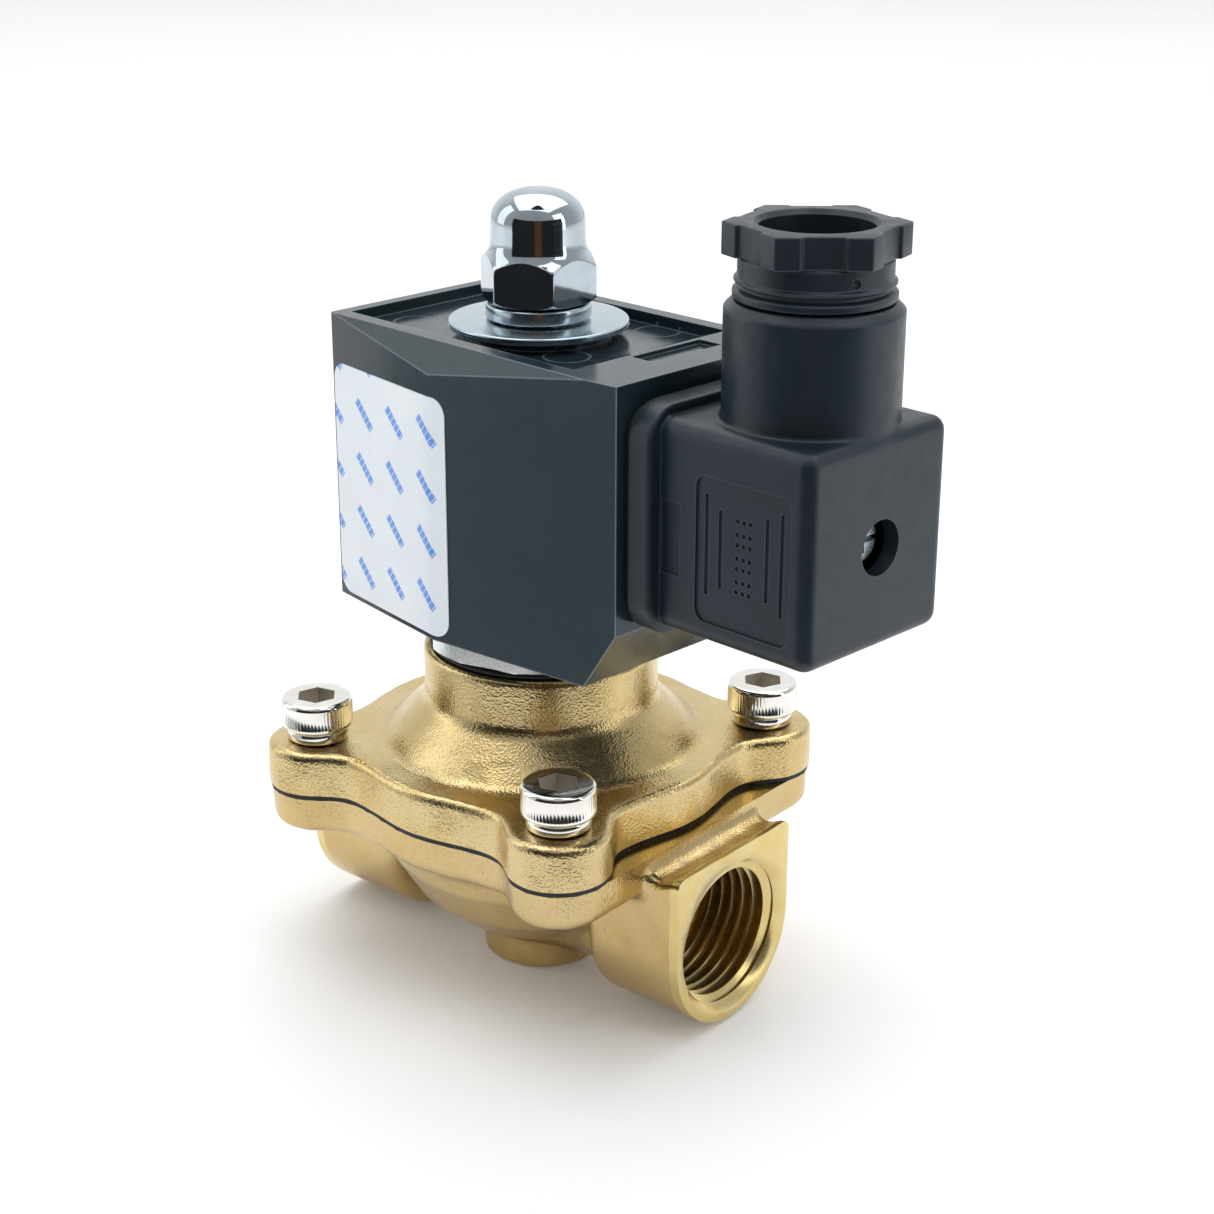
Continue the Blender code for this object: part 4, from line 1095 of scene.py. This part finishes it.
def make_label():
    """A vinyl sticker on the left panel that wraps a little way round the crease."""
    low_z, high_z = (corner.z for corner in corners("label"))
    start, end = coil_low.x + 0.5, 2.2
    back = Vector((coil_low.x, -COIL_HALF))
    crease = Vector((CREASE_X, -CREASE_HALF))
    front = Vector((SHOULDER_X, -SHOULDER_HALF))
    fold = (crease - back).length * (CREASE_X - start) / (CREASE_X - coil_low.x)
    width = fold + (front - crease).length * (end - CREASE_X) / (SHOULDER_X - CREASE_X)
    back_way = (crease - back).normalized()
    front_way = (front - crease).normalized()
    cuts, lift = 11, 0.08
    bm = bmesh.new()
    bm.faces.new([bm.verts.new((s, 0, z)) for s, z in rounded_outline((0, low_z), (width, high_z), 2.4, 10)])
    for cut in range(1, cuts + 1):
        bmesh.ops.bisect_plane(bm, geom=bm.verts[:] + bm.edges[:] + bm.faces[:],
                               plane_co=(fold * cut / cuts, 0, 0), plane_no=(1, 0, 0), dist=1e-6)
    for vert in bm.verts:
        s, z = vert.co.x, vert.co.z
        way = back_way if s <= fold else front_way
        spot = crease + way * (s - fold) + Vector((way.y, -way.x)) * lift
        vert.co = Vector((spot.x, spot.y, z)) * MM
    mesh = bpy.data.meshes.new("coil_label")
    bm.to_mesh(mesh)
    bm.free()
    label = new_object("coil_label", mesh)
    sheet = label.modifiers.new("thickness", "SOLIDIFY")
    sheet.thickness = 0.14 * MM
    sheet.offset = 0
    bake(label)
    face_out(label)
    finish_piece(into_row(label), "coil", [STICKER], ["label"], split=math.radians(50))


# ---------------------------------------------------------------- cable plug

def plug_shape():
    grid = Grid((plug_low.x, -plug_high.y, plug_low.z), tuple(plug_high), 0.3)
    x, y, z = grid.x, grid.y, grid.z
    box = outline_distance(rounded_outline((-BOX_HALF, BOX_LOW), (BOX_HALF, BOX_TOP), 2.0), y, z)
    rim = outline_distance(rounded_outline((-plug_high.y, plug_low.z), (plug_high.y, COLLAR_TOP), 4.6), y, z)
    collar = slab(rim, x, plug_low.x - 4, COLLAR_END, 0.4)
    solid = union(slab(box, x, 30, plug_high.x, 1.7), collar, 0.15)
    top = plug_high.z
    gland = outline_distance([(-20, top), (-20, 80), (GLAND_R, 80), (GLAND_R, top - 1.0),
                              (GLAND_R - 1.0, top)], grid.radius(GLAND_X), z)
    return grown("plug_shell", union(solid, gland, 0.5), grid)


def swap(outline):
    """A (z, x) outline from an (x, z) one, which also turns it round."""
    return [(z, x) for x, z in outline][::-1]


def make_plug():
    """The shell, and the side panel let into it, with bars and rows of small dots."""
    plug = plug_shape()
    inside = BOX_HALF - BOX_WALL
    entry = [(0, 110), (GLAND_BORE, 110), (GLAND_BORE, GLAND_LEDGE), (6.5, GLAND_LEDGE), (6.5, 80), (0, 80)]
    tools = [block("mill", (20, -30, 50), (plug_low.x, 30, 100)),
             block("hollow", (plug_low.x - 1, -inside, BOX_LOW + BOX_WALL),
                   (plug_high.x - BOX_WALL, inside, BOX_TOP - BOX_WALL)),
             turned("entry", entry, center=(GLAND_X, 0)),
             rod_x("access", ACCESS_R, 50, 62, y=0.4, z=PLUG_MID_Z - 0.4),
             prism("panel", swap(rounded_outline(PANEL_LOW, PANEL_HIGH, 1.6)), -BOX_HALF - 2,
                   PANEL_DEPTH - BOX_HALF, along="Y"),
             block("latch", (35.1, -30, 70.6), (38.3, 0.22 - BOX_HALF, 80.0))]
    carve(plug, *tools)
    finish_piece(into_row(plug), "plug", [PLUG_PLASTIC], ["plug_housing"])

    inset, face = 0.03, 0.28 - BOX_HALF
    outline = rounded_outline([v + inset for v in PANEL_LOW], [v - inset for v in PANEL_HIGH], 1.57)
    panel = prism("plug_panel", swap(outline), face, PANEL_DEPTH + 0.3 - BOX_HALF, along="Y")
    marks = [(42.5, 69.3, 82.3), (44.7, 70.6, 80.7), (52.1, 70.7, 81.2), (54.4, 69.4, 82.4)]
    marks += [(x, low, low + 0.62)
              for low in (70.6, 71.9, 73.6, 74.9, 76.6, 77.9, 79.6) for x in (47.4, 48.4, 49.4)]
    grooves = [prism("groove", swap(rounded_outline((x - 0.28, low), (x + 0.28, high), 0.27)),
                     -BOX_HALF - 2, face + 0.25, along="Y") for x, low, high in marks]
    carve(panel, *grooves)
    finish_piece(into_row(panel), "plug", [PLUG_PLASTIC])


def make_plug_screw():
    head_r, shank_r, slot = 2.9, 1.45, 0.38
    low, high = hold_low.x, hold_high.x
    profile = [(0, high)] + arc((head_r - 0.5, high - 0.5), 0.5, QUARTER, 0, 5)
    profile += [(head_r, high - 2.2), (shank_r, high - 2.2), (shank_r, low + 0.6), (0.9, low), (0, low)]
    screw = turned("plug_fixing_screw", profile, 64)
    screw.data.transform(Matrix.Translation((0, 0, PLUG_MID_Z * MM)) @ Matrix.Rotation(QUARTER, 4, "Y"))
    carve(screw, block("slot", (high - 1.0, -4, PLUG_MID_Z - slot), (high + 2, 4, PLUG_MID_Z + slot)),
          block("cross", (high - 1.3, -slot, PLUG_MID_Z - 1.7), (high + 2, slot, PLUG_MID_Z + 1.7)))
    finish_piece(into_row(screw), "plug", [SCREW_ZINC_PAINTED_LIGHT], ["plug_screw"])


def grip_outline():
    """A hexagon about the gland with a shallow notch in the middle of each side, counterclockwise."""
    corner = GRIP_FLAT * math.tan(math.pi / 6)
    notch, depth = 2.65, 0.55
    side = [(corner, GRIP_FLAT), (notch, GRIP_FLAT), (notch - 0.25, GRIP_FLAT - depth),
            (0.25 - notch, GRIP_FLAT - depth), (-notch, GRIP_FLAT)]
    points = []
    for index in range(6):
        turn = Matrix.Rotation(GRIP_TURN - 2 * math.pi / 3 + index * math.pi / 3, 2)
        points += [tuple(turn @ Vector(point) + Vector((GLAND_X, 0))) for point in side]
    return points


def make_gland_nut():
    """The grip, the ribbed sleeve under it and the small round mark of the mould's gate."""
    top, low = grip_high.z, grip_low.z
    grip = soften(prism("gland_grip", grip_outline(), GRIP_LOW, top), 0.22, above=20)
    inner, skirt, rim, bead = 9.1, 9.35, 9.75, 9.9
    profile = [(CABLE_R, top - 1), (inner, top - 1), (inner, GRIP_LOW), (skirt, GRIP_LOW - 0.2),
               (skirt, 107.55), (rim, 107.35), (rim, 107.0), (skirt - 0.35, 106.75), (skirt - 0.35, 106.3),
               (bead, 106.0), (bead, 105.1), (8.1, 105.1), (8.1, low), (CABLE_R, low)]
    middle = (GLAND_X, 0)
    sleeve = turned("sleeve", densified(rounded_profile(profile, 0.2, 3), 4), 120, ring=True, center=middle)
    hole = [(0, top + 1), (CABLE_R + 0.9, top + 1), (CABLE_R + 0.55, top), (CABLE_R, top - 0.6),
            (CABLE_R, 90), (0, 90)]
    bore = turned("bore", hole, 120, center=middle)
    mark_r, mark_z, mark_turn, mark_out = 0.6, 108.35, math.radians(-20), 9.45
    ball = arc((0, mark_z), mark_r, QUARTER, -QUARTER, 12)
    ball[0], ball[-1] = (0, mark_z + mark_r), (0, mark_z - mark_r)
    gate_mark = turned("gate_mark", ball, 24, center=(GLAND_X + mark_out * math.cos(mark_turn),
                                                      mark_out * math.sin(mark_turn)))
    nut = carve(weld(grip, sleeve), bore, gate_mark)
    finish_piece(into_row(nut), "gland_nut", [PLUG_PLASTIC], ["gland_nut"])


# ---------------------------------------------------------------- frame nodes that keep their shape

KEPT = {
    CUT_BRASS: ("pilot_hub",),
    STEEL: ("backing_plate", "fixed_core", "plunger", "yoke"),
    COPPER: ("winding", "shading_ring"),
    ZINC: ("terminal_blade_1", "terminal_blade_2", "earth_blade", "clamp_screw_1", "clamp_screw_2",
           "clamp_screw_3", "gland_ring"),
    RUBBER: ("seat_disc", "plunger_seal", "plug_gasket", "gland_seal"),
    SPOOL_PLASTIC: ("bobbin", "terminal_block"),
}


def dress_kept_nodes():
    for material, names in KEPT.items():
        for name in names:
            mesh = frame["nodes"][name].data
            mesh.materials.clear()
            mesh.materials.append(material)


# ---------------------------------------------------------------- camera, light and floor

def make_camera():
    """The view is three quarters from the front right, a little above, with a longish lens."""
    azimuth, elevation, roll = (math.radians(angle) for angle in (39.482, 20.833, 0.179))
    back = Vector((math.sin(azimuth) * math.cos(elevation), -math.cos(azimuth) * math.cos(elevation),
                   math.sin(elevation)))
    right = Vector((0, 0, 1)).cross(back).normalized()
    up = back.cross(right)
    turned_right = right * math.cos(roll) + up * math.sin(roll)
    turned_up = up * math.cos(roll) - right * math.sin(roll)
    view = bpy.data.cameras.new("camera")
    view.lens = 68.17
    view.sensor_width = 36.0
    view.clip_start = 0.01
    camera = new_object("camera", view)
    camera.matrix_world = Matrix.Translation(Vector((198.695, -226.626, 167.473)) * MM) @ Matrix(
        (turned_right, turned_up, back)).transposed().to_4x4()
    bpy.context.scene.camera = camera


def area_light(name, place, size, power):
    light = bpy.data.lights.new(name, "AREA")
    light.shape = "RECTANGLE"
    light.size, light.size_y = size
    light.energy = power
    item = new_object(name, light)
    item.location = place
    item.rotation_euler = (LAMP_AIM - Vector(place)).to_track_quat("-Z", "Y").to_euler()


def make_world():
    """Studio walls: bright behind the object, greyer at its sides and towards the front."""
    world = bpy.data.worlds.new("studio")
    world.use_nodes = True
    tree = world.node_tree
    facing = tree.nodes.new("ShaderNodeVectorMath")
    facing.operation = "DOT_PRODUCT"
    facing.inputs[1].default_value = (math.cos(FRONT), math.sin(FRONT), 0.0)
    tree.links.new(tree.nodes.new("ShaderNodeTexCoord").outputs["Generated"], facing.inputs[0])
    share = tree.nodes.new("ShaderNodeMapRange")
    share.inputs["From Min"].default_value = -1.0
    tree.links.new(facing.outputs["Value"], share.inputs["Value"])
    ramp = tree.nodes.new("ShaderNodeValToRGB")
    middle = ramp.color_ramp.elements.new(0.5)
    for element, place, grey in zip((ramp.color_ramp.elements[0], middle, ramp.color_ramp.elements[2]),
                                    (0.12, 0.34, 0.9), (1.0, 0.60, 0.42)):
        element.position = place
        element.color = (0.965 * grey, 0.985 * grey, grey, 1)
    tree.links.new(share.outputs["Result"], ramp.inputs[0])
    tree.links.new(ramp.outputs[0], tree.nodes["Background"].inputs["Color"])
    bpy.context.scene.world = world


def add_flag(name, outline, low, high, color):
    """A card that only darkens what gloss reflects, as one that stands out of the picture does."""
    flag = prism(name, outline, low, high)
    cloth = Paint(name + "_cloth", color, 1.0)
    dark, light = (tuple(share * part for part in color) for share in (0.7, 1.3))
    weave = cloth.mix(cloth.noise(3.0), dark, light)
    cloth.surface(Base_Color=weave, Specular_IOR_Level=0.0)
    flag.data.materials.append(cloth.material)
    flag.visible_camera = False
    flag.visible_diffuse = False
    flag.visible_shadow = False


def sector(inner, outer, start, end):
    """A part of a flat ring about the axis; its two angles are measured from the front."""
    start, end = FRONT + math.radians(start), FRONT + math.radians(end)
    return arc((0, 0), outer, start, end, 32) + arc((0, 0), inner, end, start, 32)


def make_light():
    """A wide soft box overhead and one at either side, and dark flags for what the gloss reflects."""
    make_world()
    area_light("top_box", (-0.10, 0.20, 1.4), (1.8, 1.8), 17.0)
    area_light("left_box", (-0.60, -0.35, 0.38), (0.35, 0.7), 0.9)
    area_light("right_box", (0.75, 0.10, 0.32), (0.35, 0.7), 1.4)
    add_flag("floor_flag", sector(130, 430, -62, 62), 0.5, 1.0, (0.02, 0.021, 0.022))
    add_flag("side_flag", sector(120, 400, -100, -62.5), 0.5, 1.0, (0.40, 0.42, 0.44))
    add_flag("front_flag", sector(430, 432, -62, 62), 0.5, 290, (0.02, 0.021, 0.022))
    add_flag("warm_flag", sector(426, 428, -6, 10), 0.5, 280, (0.10, 0.045, 0.02))
    add_flag("hanging_flag", sector(55, 380, -36, 36), 1000, 1001, (0.03, 0.03, 0.03))


def make_floor():
    mesh = bpy.data.meshes.new("floor")
    edit_mesh(mesh, lambda bm: bmesh.ops.create_grid(bm, x_segments=8, y_segments=8, size=4.0))
    floor = new_object("floor", mesh)
    floor.location.z = (body_low.z - 0.02) * MM
    mesh.materials.append(pale_floor())


make_camera()
make_light()
make_floor()
make_body()
make_cover()
make_diaphragm()
make_screws()
make_tube()
make_return_spring()
make_stud_hardware()
make_coil()
make_label()
make_plug()
make_plug_screw()
make_gland_nut()
dress_kept_nodes()

bpy.context.scene.view_settings.view_transform = "Standard"
